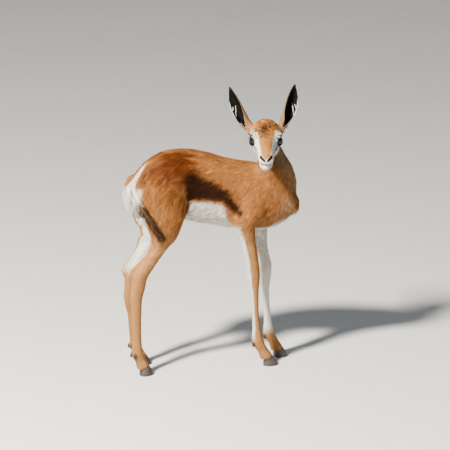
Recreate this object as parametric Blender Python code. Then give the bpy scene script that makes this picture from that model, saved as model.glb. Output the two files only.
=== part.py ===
"""A springbok lamb, standing with its head turned to look over its right side: a still, life-size model.

Metres, +Z up, +X the way the body faces, +Y to the animal's left. The places below are in the stance's own
frame, whose origin is between the feet. The finished solids are moved by CENTRE, so that the part's origin
lies on the floor under the middle of its box.
"""

import bmesh
import bpy
import numpy as np
from mathutils import Matrix, Vector

CENTRE = (0.0204, -0.0283, 0.0)  # middle of the whole model's box, on the floor, in the stance's own frame
GAP = 0.0003  # between two nodes that meet
UP = np.array([0.0, 0.0, 1.0])

# Trunk: x, top, bottom, half width
TRUNK = [
    (-0.176, 0.498, 0.446, 0.020),
    (-0.160, 0.525, 0.420, 0.038),
    (-0.138, 0.544, 0.402, 0.053),
    (-0.110, 0.559, 0.395, 0.062),
    (-0.060, 0.568, 0.385, 0.067),
    (-0.020, 0.564, 0.373, 0.068),
    (0.025, 0.552, 0.364, 0.070),
    (0.065, 0.538, 0.356, 0.070),
    (0.105, 0.530, 0.352, 0.066),
    (0.140, 0.524, 0.351, 0.060),
    (0.175, 0.505, 0.356, 0.055),
    (0.205, 0.475, 0.372, 0.045),
    (0.227, 0.450, 0.393, 0.031),
]
BEND, HALF_SPAN = 0.024, 0.17  # how far the spine bows to the left, and where it crosses y = 0

# Neck: x, y, z, reach to the throat, reach to the nape, half width
NECK = [
    (0.145, 0.004, 0.415, 0.078, 0.055, 0.048),
    (0.170, -0.006, 0.465, 0.076, 0.060, 0.041),
    (0.173, -0.010, 0.505, 0.062, 0.045, 0.032),
    (0.169, -0.012, 0.545, 0.0420, 0.0290, 0.0250),
    (0.164, -0.017, 0.582, 0.0290, 0.0245, 0.0220),
    (0.158, -0.023, 0.612, 0.0240, 0.0220, 0.0220),
]

# Head: its own frame between the eyes, with NOSE along the jaw, BROW up and LEFT to the animal's left
HEAD_TURN, HEAD_DOWN = np.radians(-103.0), np.radians(12.0)  # from the body's heading, and below level
AHEAD = np.array([np.cos(HEAD_TURN), np.sin(HEAD_TURN), 0.0])
NOSE = np.cos(HEAD_DOWN) * AHEAD - np.sin(HEAD_DOWN) * UP
BROW = np.sin(HEAD_DOWN) * AHEAD + np.cos(HEAD_DOWN) * UP
LEFT = np.cross(BROW, NOSE)
EYES = np.array([0.1450, -0.0740, 0.5942])
# along the nose, top, bottom, half width
SKULL = [
    (-0.066, 0.020, -0.012, 0.022),
    (-0.054, 0.036, -0.024, 0.033),
    (-0.035, 0.0455, -0.029, 0.0395),
    (-0.015, 0.0420, -0.030, 0.0385),
    (0.000, 0.0340, -0.030, 0.0345),
    (0.013, 0.0275, -0.030, 0.0290),
    (0.031, 0.0205, -0.031, 0.0230),
    (0.049, 0.0140, -0.031, 0.0196),
    (0.062, 0.0085, -0.031, 0.0188),
    (0.073, 0.0030, -0.028, 0.0172),
    (0.080, -0.004, -0.022, 0.0118),
]
JAW = [
    (-0.034, -0.008, -0.036, 0.0290),
    (-0.010, -0.010, -0.040, 0.0270),
    (0.018, -0.015, -0.042, 0.0210),
    (0.043, -0.018, -0.043, 0.0172),
    (0.059, -0.019, -0.045, 0.0164),
    (0.070, -0.022, -0.0440, 0.0138),
]
# centre and radii along the nose, up the brow and to the side, mirrored where the side isn't 0
HEAD_FORMS = [
    ((-0.009, 0.011, 0.026), (0.023, 0.014, 0.0130)),  # brow over the eye
    ((0.008, -0.006, 0.022), (0.022, 0.014, 0.0090)),  # below the eye
    ((-0.018, -0.014, 0.021), (0.032, 0.024, 0.0130)),  # cheek
    ((-0.030, 0.026, 0.0), (0.030, 0.024, 0.031)),  # curly crown
    ((-0.041, 0.018, 0.033), (0.014, 0.015, 0.012)),  # ear's root
    ((0.074, -0.0060, 0.0), (0.0085, 0.0095, 0.0145)),  # nose pad
    ((0.064, -0.0125, 0.0095), (0.018, 0.0110, 0.0103)),  # upper lip
    ((0.0675, -0.0345, 0.0), (0.0150, 0.0110, 0.0130)),  # chin
]
EYE_AT, EYE_RADIUS, LID = (-0.003, 0.0055, 0.0268), 0.0140, 0.0032
EYE_LOOK = (0.42, 0.12, 0.90)
EYE_OPENING = (0.0128, 0.0094)  # half its length and half its height

# Ear: share of its length, arc's radius, half angle, thickness
EAR = [
    (0.00, 0.0086, 2.95, 0.0032),
    (0.12, 0.0098, 2.90, 0.0030),
    (0.24, 0.0120, 2.55, 0.0028),
    (0.36, 0.0150, 1.95, 0.0026),
    (0.50, 0.0175, 1.50, 0.0024),
    (0.63, 0.0188, 1.25, 0.0022),
    (0.77, 0.0172, 1.02, 0.0020),
    (0.91, 0.0120, 0.68, 0.0018),
    (1.00, 0.0060, 0.30, 0.0014),
]
EAR_ROOT = (-0.040, 0.0115, 0.0300)
EAR_TIP = {"right": (0.0707, 0.0202, 0.7215), "left": (0.2354, -0.0160, 0.7281)}
EAR_OPENS = {"right": (-0.80, -0.60, 0.10), "left": (0.27, -0.96, 0.10)}

# Legs: share of the way down (0 top, 1 elbow or stifle, 2 knee or hock, 3 fetlock, 4 coronet),
# reach forward, reach back, half width
FORE = [
    (0.00, 0.036, 0.040, 0.016),
    (0.35, 0.046, 0.045, 0.026),
    (0.70, 0.042, 0.044, 0.031),
    (1.00, 0.032, 0.034, 0.027),
    (1.30, 0.0205, 0.0215, 0.0175),
    (1.60, 0.0180, 0.0185, 0.0150),
    (1.86, 0.0182, 0.0180, 0.0152),
    (2.00, 0.0180, 0.0178, 0.0156),
    (2.12, 0.0165, 0.0168, 0.0145),
    (2.26, 0.0120, 0.0124, 0.0112),
    (2.46, 0.0094, 0.0098, 0.0092),
    (2.80, 0.0100, 0.0108, 0.0096),
    (3.00, 0.0140, 0.0155, 0.0130),
    (3.35, 0.0118, 0.0128, 0.0125),
    (4.00, 0.0150, 0.0150, 0.0155),
]
HIND = [
    (0.00, 0.045, 0.050, 0.022),
    (0.35, 0.066, 0.060, 0.031),
    (0.65, 0.062, 0.058, 0.034),
    (1.00, 0.052, 0.048, 0.034),
    (1.20, 0.039, 0.037, 0.030),
    (1.34, 0.028, 0.027, 0.025),
    (1.48, 0.0190, 0.0200, 0.0210),
    (1.68, 0.0168, 0.0185, 0.0175),
    (1.86, 0.0180, 0.0185, 0.0160),
    (2.00, 0.0200, 0.0200, 0.0165),
    (2.14, 0.0195, 0.0190, 0.0150),
    (2.30, 0.0168, 0.0172, 0.0130),
    (2.46, 0.0142, 0.0145, 0.0114),
    (2.72, 0.0130, 0.0134, 0.0107),
    (2.90, 0.0126, 0.0132, 0.0112),
    (3.00, 0.0145, 0.0160, 0.0142),
    (3.35, 0.0122, 0.0130, 0.0130),
    (4.00, 0.0150, 0.0152, 0.0160),
]
# the same shares, then where the middle of the leg is
LEG_PATHS = {
    "fore_right": [
        (0.0, 0.120, -0.016, 0.500),
        (0.5, 0.132, -0.030, 0.445),
        (1.0, 0.101, -0.042, 0.385),
        (1.3, 0.1062, -0.043, 0.3427),
        (1.6, 0.1136, -0.040, 0.3034),
        (2.0, 0.1222, -0.032, 0.2500),
        (2.3, 0.1265, -0.031, 0.1960),
        (2.8, 0.1312, -0.032, 0.1030),
        (3.0, 0.1362, -0.034, 0.0620),
        (3.35, 0.1460, -0.035, 0.0440),
        (4.0, 0.1560, -0.036, 0.0240),
    ],
    "fore_left": [
        (0.0, 0.134, 0.037, 0.500),
        (0.5, 0.158, 0.042, 0.440),
        (1.0, 0.150, 0.043, 0.380),
        (1.3, 0.1560, 0.037, 0.3370),
        (1.6, 0.1564, 0.030, 0.2975),
        (2.0, 0.1656, 0.022, 0.2480),
        (2.3, 0.1668, 0.024, 0.1850),
        (2.8, 0.1760, 0.030, 0.0995),
        (3.0, 0.1810, 0.033, 0.0620),
        (3.35, 0.1910, 0.034, 0.0440),
        (4.0, 0.2000, 0.035, 0.0240),
    ],
    "hind_right": [
        (0.0, -0.122, -0.026, 0.500),
        (0.35, -0.1177, -0.033, 0.467),
        (0.65, -0.1110, -0.041, 0.429),
        (1.0, -0.1125, -0.046, 0.392),
        (1.2, -0.1155, -0.047, 0.362),
        (1.48, -0.1265, -0.045, 0.327),
        (1.68, -0.1398, -0.043, 0.3055),
        (2.0, -0.1730, -0.040, 0.2560),
        (2.3, -0.1833, -0.043, 0.2024),
        (2.46, -0.1836, -0.045, 0.1712),
        (2.72, -0.1839, -0.047, 0.1243),
        (3.0, -0.1823, -0.050, 0.0580),
        (3.35, -0.1760, -0.051, 0.0430),
        (4.0, -0.1690, -0.052, 0.0240),
    ],
    "hind_left": [
        (0.0, -0.134, 0.042, 0.500),
        (0.35, -0.1280, 0.050, 0.467),
        (0.65, -0.1240, 0.060, 0.429),
        (1.0, -0.1240, 0.062, 0.392),
        (1.2, -0.1215, 0.058, 0.360),
        (1.48, -0.1330, 0.048, 0.322),
        (1.68, -0.1460, 0.040, 0.2960),
        (2.0, -0.1780, 0.026, 0.2440),
        (2.3, -0.1850, 0.025, 0.1868),
        (2.46, -0.1771, 0.030, 0.1412),
        (2.72, -0.1735, 0.035, 0.0960),
        (3.0, -0.1690, 0.040, 0.0560),
        (3.35, -0.1630, 0.041, 0.0420),
        (4.0, -0.1560, 0.041, 0.0240),
    ],
}
HEADING = {"fore_right": -8.0, "fore_left": -8.0, "hind_right": 10.0, "hind_left": 10.0}
HEEL_BONE = {"hind_right": (-0.1985, -0.040, 0.272), "hind_left": (-0.2070, 0.026, 0.2600)}
TENDON_TOP = {"hind_right": (-0.136, -0.045, 0.335), "hind_left": (-0.148, 0.048, 0.330)}
# Swellings of the trunk: centre, mirrored in the spine where its side isn't 0, and radii along, across, up
TRUNK_FORMS = [
    ((-0.156, 0.030, 0.456), (0.037, 0.025, 0.052)),  # buttock
    ((0.163, 0.022, 0.428), (0.050, 0.038, 0.060)),  # from the neck to the point of the shoulder
    ((0.190, 0.0, 0.405), (0.042, 0.036, 0.036)),  # brisket
]

# Feet: where the sole's middle lies, and the way the toes point
FEET = {
    "fore_right": (0.166, -0.036, -10.0),
    "fore_left": (0.209, 0.035, -10.0),
    "hind_right": (-0.160, -0.052, 26.0),
    "hind_left": (-0.146, 0.041, 12.0),
}
CLAW_LENGTH, CLAW_WIDTH, CLAW_HEIGHT, CLEFT = 0.037, 0.0138, 0.030, 0.0012
CORONET, CORONET_SLOPE = 0.0215, 0.27  # height of the hoof's top edge, and how much higher it is in front
DEWCLAW = (0.0046, 0.0038, 0.0062)  # half its depth, width and height
DEWCLAW_APART, DEWCLAW_DOWN = 0.0072, 0.004
HOOF_EDGE = np.radians(40.0)  # steeper edges than this stay sharp

# Where the flesh is parted into nodes: a point on each plane and the way it faces
NECK_BASE = ((0.180, -0.010, 0.495), (0.67, 0.0, 0.74))
NECK_TOP = ((0.165, -0.016, 0.570), (0.0, -0.35, 1.0))
MIDLINE = {"fore": ((0.10, 0.004), (0.20, -0.010)), "hind": ((-0.18, -0.0115), (-0.09, 0.018))}

# Tail: x, y, z, half depth, half width
TAIL = [
    (-0.146, 0.004, 0.486, 0.0085, 0.0095),
    (-0.1760, -0.006, 0.4825, 0.0085, 0.0090),
    (-0.1835, -0.031, 0.4725, 0.0065, 0.0075),
    (-0.178, -0.0535, 0.457, 0.0042, 0.0045),
    (-0.1690, -0.0655, 0.436, 0.0032, 0.0036),
    (-0.1575, -0.0745, 0.4155, 0.0030, 0.0034),
    (-0.1465, -0.0795, 0.3955, 0.0030, 0.0034),
    (-0.1325, -0.0810, 0.3720, 0.0028, 0.0032),
    (-0.1260, -0.0805, 0.3600, 0.0018, 0.0020),
]
TAIL_OUT = (-0.35, -0.90, 0.20)  # away from the thigh that it lies on
# Brush: hair locks rooted from one share of the tail's length to another
LOCKS, LOCKS_FROM, LOCKS_TO = 13, 0.40, 0.92
LOCK_LENGTH, LOCK_SPREAD = (0.030, 0.040), np.radians(95.0)
LOCK_WIDTH, LOCK_THICKNESS, LOCK_LIFT = 0.0034, 0.0011, 0.0042  # half sizes, and how far it stands off

# Mouth and nostrils, in the head's frame: along the nose, up, to the side
MOUTH = [
    (0.0820, -0.0228, 0.0),
    (0.0765, -0.0236, 0.0105),
    (0.0620, -0.0245, 0.0180),
    (0.0450, -0.0225, 0.0200),
]
MOUTH_DEPTH = 0.0016
PHILTRUM = [(0.0835, -0.0110, 0.0), (0.0830, -0.0165, 0.0), (0.0820, -0.0220, 0.0)]
NOSTRIL_AT, NOSTRIL_SIZE = (0.0775, -0.0055, 0.0092), (0.0055, 0.0070, 0.0020)
NOSTRIL_LINE = (-0.62, 0.42, 0.66)  # the way its slit runs, back, up and out

# Start of the node's name, then its colour and roughness
FINISHES = [
    ("torso", (0.36, 0.19, 0.095), 0.80),
    ("neck", (0.50, 0.38, 0.27), 0.80),
    ("head", (0.55, 0.42, 0.30), 0.75),
    ("ear", (0.42, 0.30, 0.21), 0.80),
    ("eye", (0.012, 0.009, 0.007), 0.08),
    ("tail", (0.22, 0.17, 0.14), 0.85),
    ("fore", (0.46, 0.27, 0.14), 0.80),
    ("hind", (0.46, 0.27, 0.14), 0.80),
    ("hoof", (0.085, 0.075, 0.068), 0.40),
    ("dewclaw", (0.055, 0.045, 0.040), 0.45),
]


def through(rows, count):
    """A smooth curve through rows of numbers that start with x, y, z: cubic pieces
    h00(u) a + h10(u) h a' + h01(u) b + h11(u) h b', with the slopes a' of the rows over their distance."""
    rows = np.asarray(rows, float)
    t = np.concatenate([[0], np.cumsum(np.linalg.norm(np.diff(rows[:, :3], axis=0), axis=1))])
    slope = np.gradient(rows, t, axis=0)
    at = np.linspace(0, t[-1], count)
    i = np.clip(np.searchsorted(t, at, side="right") - 1, 0, len(t) - 2)
    h = (t[i + 1] - t[i])[:, None]
    u = (at - t[i])[:, None] / h
    return (
        (2 * u**3 - 3 * u**2 + 1) * rows[i]
        + (u**3 - 2 * u**2 + u) * h * slope[i]
        + (3 * u**2 - 2 * u**3) * rows[i + 1]
        + (u**3 - u**2) * h * slope[i + 1]
    )


def unit(v):
    v = np.asarray(v, float)
    return v / np.linalg.norm(v, axis=-1, keepdims=True)


def tube_faces(rings, sides):
    """Quads between rings of points, with a pole before the first ring and one after the last."""
    i, j = np.meshgrid(np.arange(rings - 1), np.arange(sides), indexing="ij")
    k = (j + 1) % sides
    quads = np.stack([i * sides + j, i * sides + k, (i + 1) * sides + k, (i + 1) * sides + j], -1)
    first, last = rings * sides, rings * sides + 1
    end = (rings - 1) * sides
    a = np.arange(sides)
    b = (a + 1) % sides
    return (
        quads.reshape(-1, 4).tolist()
        + np.stack([b, a, np.full(sides, first)], -1).tolist()
        + np.stack([end + a, end + b, np.full(sides, last)], -1).tolist()
    )


def loft(rows, ahead, rings=40, sides=24, across=None, level=False, power=2.2):
    """A closed form round a path. Rows hold x, y, z, the reach toward ahead, the reach away from it and
    the half width. Each section is |f / reach|^power + |s / half width|^power = 1 in the plane across the
    path (or across the given direction), and the ends are domes."""
    line = through(rows, rings)
    along = np.gradient(line[:, :3], axis=0) if across is None else np.tile(across, (rings, 1))
    if level:
        along[:, 2] = 0
    along = unit(along)
    dome = np.sin(np.radians([72.0, 50.0, 25.0]))
    tall = 0.7 * line[[0, -1], 3:].min(axis=1)
    start, end = np.repeat(line[:1], 3, 0), np.repeat(line[-1:], 3, 0)
    start[:, :3] -= along[0] * tall[0] * dome[:, None]
    end[:, :3] += along[-1] * tall[1] * dome[::-1, None]
    start[:, 3:] *= np.sqrt(1 - dome**2)[:, None]
    end[:, 3:] *= np.sqrt(1 - dome[::-1] ** 2)[:, None]
    poles = [line[0, :3] - along[0] * tall[0], line[-1, :3] + along[-1] * tall[1]]
    line = np.concatenate([start, line, end])
    along = np.concatenate([along[[0, 0, 0]], along, along[[-1, -1, -1]]])
    front = unit(np.asarray(ahead) - along * (along @ np.asarray(ahead))[:, None])
    side = np.cross(along, front)
    angle = np.arange(sides) * 2 * np.pi / sides
    c, s = np.cos(angle), np.sin(angle)
    f = np.sign(c) * np.abs(c) ** (2 / power)
    w = np.sign(s) * np.abs(s) ** (2 / power)
    reach = np.where(c[None] > 0, line[:, 3:4], line[:, 4:5]) * f
    width = line[:, 5:6] * w
    points = line[:, None, :3] + reach[..., None] * front[:, None] + width[..., None] * side[:, None]
    return np.concatenate([points.reshape(-1, 3), poles]), tube_faces(len(line), sides)


def ellipsoid(centre, axes, rings=14, sides=24):
    """centre + x a + y b + z c over the unit sphere, with the three half axes a, b, c as rows."""
    up = np.linspace(np.pi, 0, rings + 2)[1:-1]
    turn = np.arange(sides) * 2 * np.pi / sides
    ball = np.stack(
        [
            np.outer(np.sin(up), np.cos(turn)),
            np.outer(np.sin(up), np.sin(turn)),
            np.outer(np.cos(up), np.ones(sides)),
        ],
        -1,
    ).reshape(-1, 3)
    ball = np.concatenate([ball, [[0, 0, -1], [0, 0, 1]]])
    return np.asarray(centre) + ball @ np.asarray(axes, float), tube_faces(rings, sides)


def solid(name, *forms):
    """One object from closed forms, each with its faces turned outward."""
    points, faces, count = [], [], 0
    for verts, quads in forms:
        points.append(verts)
        faces += [[v + count for v in q] for q in quads]
        count += len(verts)
    mesh = bpy.data.meshes.new(name)
    mesh.from_pydata(np.concatenate(points).tolist(), [], faces)
    bm = bmesh.new()
    bm.from_mesh(mesh)
    bmesh.ops.recalc_face_normals(bm, faces=bm.faces)
    bm.to_mesh(mesh)
    bm.free()
    ob = bpy.data.objects.new(name, mesh)
    bpy.context.scene.collection.objects.link(ob)
    return ob


def modified(ob, kind, **settings):
    """Adds a modifier, applies it and returns the object."""
    mod = ob.modifiers.new(kind, kind)
    for key, value in settings.items():
        setattr(mod, key, value)
    held = ob.evaluated_get(bpy.context.evaluated_depsgraph_get())
    mesh = bpy.data.meshes.new_from_object(held)
    old = ob.data
    ob.modifiers.clear()
    ob.data = mesh
    bpy.data.meshes.remove(old)
    return ob


def points_of(ob):
    flat = np.empty(len(ob.data.vertices) * 3)
    ob.data.vertices.foreach_get("co", flat)
    return flat.reshape(-1, 3)


def gone(*obs):
    for ob in obs:
        mesh = ob.data
        bpy.data.objects.remove(ob)
        bpy.data.meshes.remove(mesh)


def cut(ob, tool, how):
    """Cuts ob by tool. EXACT leaves odd faces on rare surfaces, so MANIFOLD stands in where it fails."""
    before = ob.data.copy()
    for solver in ("EXACT", "MANIFOLD"):
        ob.data = before.copy()
        modified(ob, "BOOLEAN", object=tool, operation=how, solver=solver)
        bm = bmesh.new()
        bm.from_mesh(ob.data)
        good = len(bm.faces) > 0 and all(e.is_manifold for e in bm.edges)
        bm.free()
        if good:
            break
    bpy.data.meshes.remove(before)
    return largest(ob)


def largest(ob):
    """Keeps the closed surface that holds the most room, and triangulates it."""
    bm = bmesh.new()
    bm.from_mesh(ob.data)
    bmesh.ops.triangulate(bm, faces=bm.faces)
    bmesh.ops.dissolve_degenerate(bm, dist=2e-6, edges=bm.edges)
    bmesh.ops.triangulate(bm, faces=[f for f in bm.faces if len(f.verts) > 3])
    left, shells = set(bm.faces), []
    while left:
        shell, todo = set(), [left.pop()]
        while todo:
            face = todo.pop()
            shell.add(face)
            for edge in face.edges:
                for other in edge.link_faces:
                    if other in left:
                        left.discard(other)
                        todo.append(other)
        room = sum(f.verts[0].co.dot(f.verts[1].co.cross(f.verts[2].co)) for f in shell)
        shells.append((room, shell))
    keep = max(shells, key=lambda s: s[0])[1]
    bmesh.ops.delete(bm, geom=[f for f in bm.faces if f not in keep], context="FACES")
    bm.to_mesh(ob.data)
    bm.free()
    return ob


def copy_of(ob, name):
    new = bpy.data.objects.new(name, ob.data.copy())
    bpy.context.scene.collection.objects.link(new)
    return new


def grown(ob, by):
    """A copy of ob with its surface moved out by the given amount."""
    return modified(copy_of(ob, ob.name + "_grown"), "DISPLACE", strength=by, mid_level=0.0)


def block(planes, grow):
    """A convex solid inside planes, each a point and the direction out, moved out by grow."""
    bm = bmesh.new()
    bmesh.ops.create_cube(bm, size=1.4)
    bmesh.ops.translate(bm, verts=bm.verts, vec=(0, 0, 0.4))
    for point, out in planes:
        out = Vector(unit(out))
        cut_at = Vector(point) + out * grow
        parts = bm.verts[:] + bm.edges[:] + bm.faces[:]
        made = bmesh.ops.bisect_plane(bm, geom=parts, plane_co=cut_at, plane_no=out, clear_outer=True)
        bmesh.ops.edgeloop_fill(bm, edges=[e for e in made["geom_cut"] if isinstance(e, bmesh.types.BMEdge)])
    bmesh.ops.recalc_face_normals(bm, faces=bm.faces)
    mesh = bpy.data.meshes.new("block")
    bm.to_mesh(mesh)
    bm.free()
    ob = bpy.data.objects.new("block", mesh)
    bpy.context.scene.collection.objects.link(ob)
    return ob


def kept(ob, name, planes):
    """The part of ob inside the planes, as a new node that stops half a gap short of each."""
    new, tool = copy_of(ob, name), block(planes, -GAP / 2)
    cut(new, tool, "INTERSECT")
    gone(tool)
    return new


def without(ob, planes):
    tool = block(planes, GAP / 2)
    cut(ob, tool, "DIFFERENCE")
    gone(tool)


def compass(degrees):
    a = np.radians(degrees)
    return np.array([np.cos(a), np.sin(a), 0.0])


def spine_y(x):
    return BEND * (1 - (np.asarray(x) / HALF_SPAN) ** 2)


def in_head(along, up, side):
    return EYES + along * NOSE + up * BROW + side * LEFT


def trunk_form():
    rows = [(x, spine_y(x), (t + b) / 2, (t - b) / 2, (t - b) / 2, w) for x, t, b, w in TRUNK]
    return loft(rows, UP, rings=60, sides=32, level=True)


def trunk_swellings():
    forms = []
    for (x, side, z), (along, across, high) in TRUNK_FORMS:
        ahead = unit([1.0, -2 * BEND * x / HALF_SPAN**2, 0.0])
        left = np.array([-ahead[1], ahead[0], 0.0])
        for hand in (1, -1) if side else (1,):
            centre = np.array([x, spine_y(x), z]) + hand * side * left
            forms.append(ellipsoid(centre, [along * ahead, across * left, high * UP]))
    return forms


def neck_form():
    return loft(NECK, (1, 0.1, 0), rings=40, sides=28)


def leg_form(leg):
    """The girths of a fore or hind leg, carried along that leg's own path."""
    girth = np.array(FORE if leg.startswith("fore") else HIND)
    path = np.array(LEG_PATHS[leg])
    at = [np.interp(girth[:, 0], path[:, 0], path[:, k]) for k in (1, 2, 3)]
    rows = np.column_stack([*at, girth[:, 1:]])
    return loft(rows, compass(HEADING[leg]), rings=72, sides=24)


def heel_forms(leg):
    """The heel bone behind the hock and the tendon that runs from it up to the back of the thigh."""
    tip, top = np.array(HEEL_BONE[leg]), np.array(TENDON_TOP[leg])
    hock = np.array(LEG_PATHS[leg])[:, 1:][7]
    bow = np.array([0.010, 0.0, 0.0])
    tendon = [
        (*tip + (0.005, 0, -0.003), 0.0062, 0.0062, 0.0062),
        (*tip * 0.68 + top * 0.32 + bow * 0.7, 0.0072, 0.0062, 0.0056),
        (*tip * 0.36 + top * 0.64 + bow * 0.8, 0.0090, 0.0075, 0.0070),
        (*top, 0.0140, 0.0120, 0.0130),
    ]
    heel = [
        (*tip + (0.005, 0, -0.003), 0.0062, 0.0062, 0.0068),
        (*tip * 0.55 + hock * 0.45 + (0, 0, -0.004), 0.0100, 0.0110, 0.0085),
        (*hock + (0.002, 0, -0.016), 0.0150, 0.0150, 0.0110),
    ]
    ahead = compass(HEADING[leg])
    return [loft(tendon, ahead, rings=16, sides=16), loft(heel, ahead, rings=14, sides=16)]


def head_forms():
    def rows(table):
        return [(*in_head(s, (t + b) / 2, 0), (t - b) / 2, (t - b) / 2, w) for s, t, b, w in table]

    forms = [
        loft(rows(SKULL), BROW, rings=60, sides=32, across=NOSE),
        loft(rows(JAW), BROW, rings=40, sides=24, across=NOSE),
    ]
    for (s, u, side), (a, b, c) in HEAD_FORMS:
        for hand in (1, -1) if side else (1,):
            forms.append(ellipsoid(in_head(s, u, hand * side), [a * NOSE, b * BROW, c * LEFT]))
    for hand in (1, -1):
        forms.append(eye_ball(hand, EYE_RADIUS + LID))
    return forms


def eye_ball(hand, radius, rings=20, sides=28):
    s, u, side = EYE_AT
    return ellipsoid(in_head(s, u, hand * side), np.eye(3) * radius, rings, sides)


def eye_window(hand):
    """A prism whose section is the opening between the lids: |y| = h (1 - |x / l|^1.9)^0.62."""
    s, u, side = EYE_LOOK
    look = unit(s * NOSE + u * BROW + hand * side * LEFT)
    a, b, c = EYE_AT
    centre = in_head(a, b, hand * c)
    across = unit(NOSE - look * (NOSE @ look))
    high = np.cross(look, across) * (1 if np.cross(look, across) @ BROW > 0 else -1)
    across = unit(across - 0.22 * high)
    high = unit(high - across * (high @ across))
    half, tall = EYE_OPENING
    turn = np.arange(24) * 2 * np.pi / 24
    x = half * np.cos(turn)
    y = tall * np.sign(np.sin(turn)) * (1 - np.abs(np.cos(turn)) ** 1.9) ** 0.62
    edge = x[:, None] * across + y[:, None] * high
    rings = np.stack([centre + edge + look * d for d in (0.0, 0.03)])
    poles = [centre, centre + look * 0.03]
    return np.concatenate([rings.reshape(-1, 3), poles]), tube_faces(2, 24)


def ear_form(hand):
    """A cupped leaf: arcs of half angle a and radius r, two skins apart by the thickness, with the middle of
    the arc at the back of the ear and its opening toward EAR_OPENS."""
    word = "left" if hand > 0 else "right"
    root = in_head(EAR_ROOT[0], EAR_ROOT[1], hand * EAR_ROOT[2])
    reach = np.array(EAR_TIP[word]) - root
    table = np.array(EAR)
    share = np.linspace(0, 1, 13)
    radius, half, thick = (np.interp(share, table[:, 0], table[:, k]) for k in (1, 2, 3))
    axis = unit(reach)
    opens = np.array(EAR_OPENS[word])
    opens = unit(opens - axis * (opens @ axis))
    wide = np.cross(axis, opens)
    bow = unit(wide * (1 if wide @ LEFT * hand > 0 else -1))
    middle = root + share[:, None] * reach + (0.007 * np.sin(np.pi * share**1.2))[:, None] * bow
    a = np.linspace(-1, 1, 9)
    angle = half[:, None] * a
    edge = 1 - 0.45 * np.abs(a) ** 4

    def skin(r):
        back = (r * np.cos(angle) - radius[:, None] * 0.55)[..., None]
        return middle[:, None] - back * opens + (r * np.sin(angle))[..., None] * wide

    outer = skin(radius[:, None] + thick[:, None] * edge / 2)
    inner = skin(radius[:, None] - thick[:, None] * edge / 2)[:, ::-1]
    rings = np.concatenate([outer, inner], axis=1)
    count, sides = rings.shape[:2]
    faces = tube_faces(count, sides)[: (count - 1) * sides]
    faces += [list(range(sides))[::-1], [(count - 1) * sides + k for k in range(sides)]]
    return rings.reshape(-1, 3), faces


def claw_form(leg, hand):
    """Half of a cloven hoof: a drop shape pointed at the toe, flat toward the cleft, smaller at the top."""
    x, y, heading = FEET[leg]
    ahead = compass(heading)
    side = np.array([-ahead[1], ahead[0], 0.0]) * hand
    turn = np.linspace(0, np.pi, 9)
    along = np.cos(turn)
    bulge = np.sin(turn) ** 0.8 * (1 - 0.38 * np.clip(along, 0, 1))
    rings = []
    for level, toe, heel, wide in (
        (0.0, 0.500, -0.46, 0.90),
        (0.30, 0.440, -0.48, 0.98),
        (0.65, 0.325, -0.46, 1.00),
        (1.0, 0.180, -0.42, 1.00),
    ):
        middle, half = (toe + heel) / 2 * CLAW_LENGTH, (toe - heel) / 2 * CLAW_LENGTH
        out = np.column_stack([middle + half * along, CLEFT / 2 + bulge * wide * CLAW_WIDTH])
        ring = out[:, :1] * ahead + out[:, 1:] * side
        rings.append(ring + (x, y, level * CLAW_HEIGHT))
    rings = np.stack(rings)
    count, sides = rings.shape[:2]
    faces = tube_faces(count, sides)[: (count - 1) * sides]
    faces += [list(range(sides))[::-1], [(count - 1) * sides + k for k in range(sides)]]
    return rings.reshape(-1, 3), faces


def flesh(name, voxel, rounds, faces, *forms, soft, melt):
    """The forms as one closed skin: melted together, smoothed, and thinned to about the given faces. Where
    the function soft gives 1, melt more rounds of smoothing take the creases between them away."""
    ob = solid(name, *forms)
    modified(ob, "REMESH", mode="VOXEL", voxel_size=voxel)
    largest(ob)
    share = soft(points_of(ob))
    group = ob.vertex_groups.new(name="soft")
    for k in np.flatnonzero(share > 0):
        group.add([int(k)], float(share[k]), "REPLACE")
    modified(ob, "SMOOTH", factor=0.5, iterations=melt, vertex_group="soft")
    ob.vertex_groups.clear()
    modified(ob, "SMOOTH", factor=0.5, iterations=rounds)
    modified(ob, "DECIMATE", ratio=faces / len(ob.data.polygons))
    return largest(ob)


def upper_share(points):
    """1 on the trunk and the upper legs, 0 below them."""
    return np.clip((points[:, 2] - 0.33) / 0.05, 0, 1)


def skull_share(points):
    """1 on the head behind the muzzle, 0 on the muzzle."""
    return np.clip((0.052 - (points - EYES) @ NOSE) / 0.02, 0, 1)


def plane_through(a, b, c, inside):
    """The plane through three points, as one of them and the direction away from the point inside."""
    a, b, c, inside = (np.asarray(p, float) for p in (a, b, c, inside))
    out = unit(np.cross(b - a, c - a))
    return a, out if (inside - a) @ out < 0 else -out


def leg_planes(leg):
    """The planes that hold a leg: a slanted one through the trunk, the midline, and one or two across."""
    pair, word = leg.split("_")
    hind = pair == "hind"
    base_x = -0.13 if hind else 0.13
    ahead = unit([1.0, -2 * BEND * base_x / HALF_SPAN**2, 0.0])
    out = np.array([-ahead[1], ahead[0], 0.0]) * (1 if word == "left" else -1)
    base = np.array([base_x, spine_y(base_x), 0.0])
    low, far, high, wide = (0.395, 0.362, 0.560, 0.12) if hind else (0.352, 0.350, 0.470, 0.09)
    inside = base + out * 0.04 + UP * 0.2
    slant = plane_through(
        base + UP * low, base + ahead * 0.11 + UP * far, base + out * wide + UP * high, inside
    )
    (x0, y0), (x1, y1) = MIDLINE[pair]
    middle = plane_through((x0, y0, 0), (x1, y1, 0), (x0, y0, 1), inside)
    if hind:
        return [slant, middle, (base + ahead * 0.108, ahead)]
    return [slant, middle, (base - ahead * 0.076, -ahead), (base + ahead * 0.076, ahead)]


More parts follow.
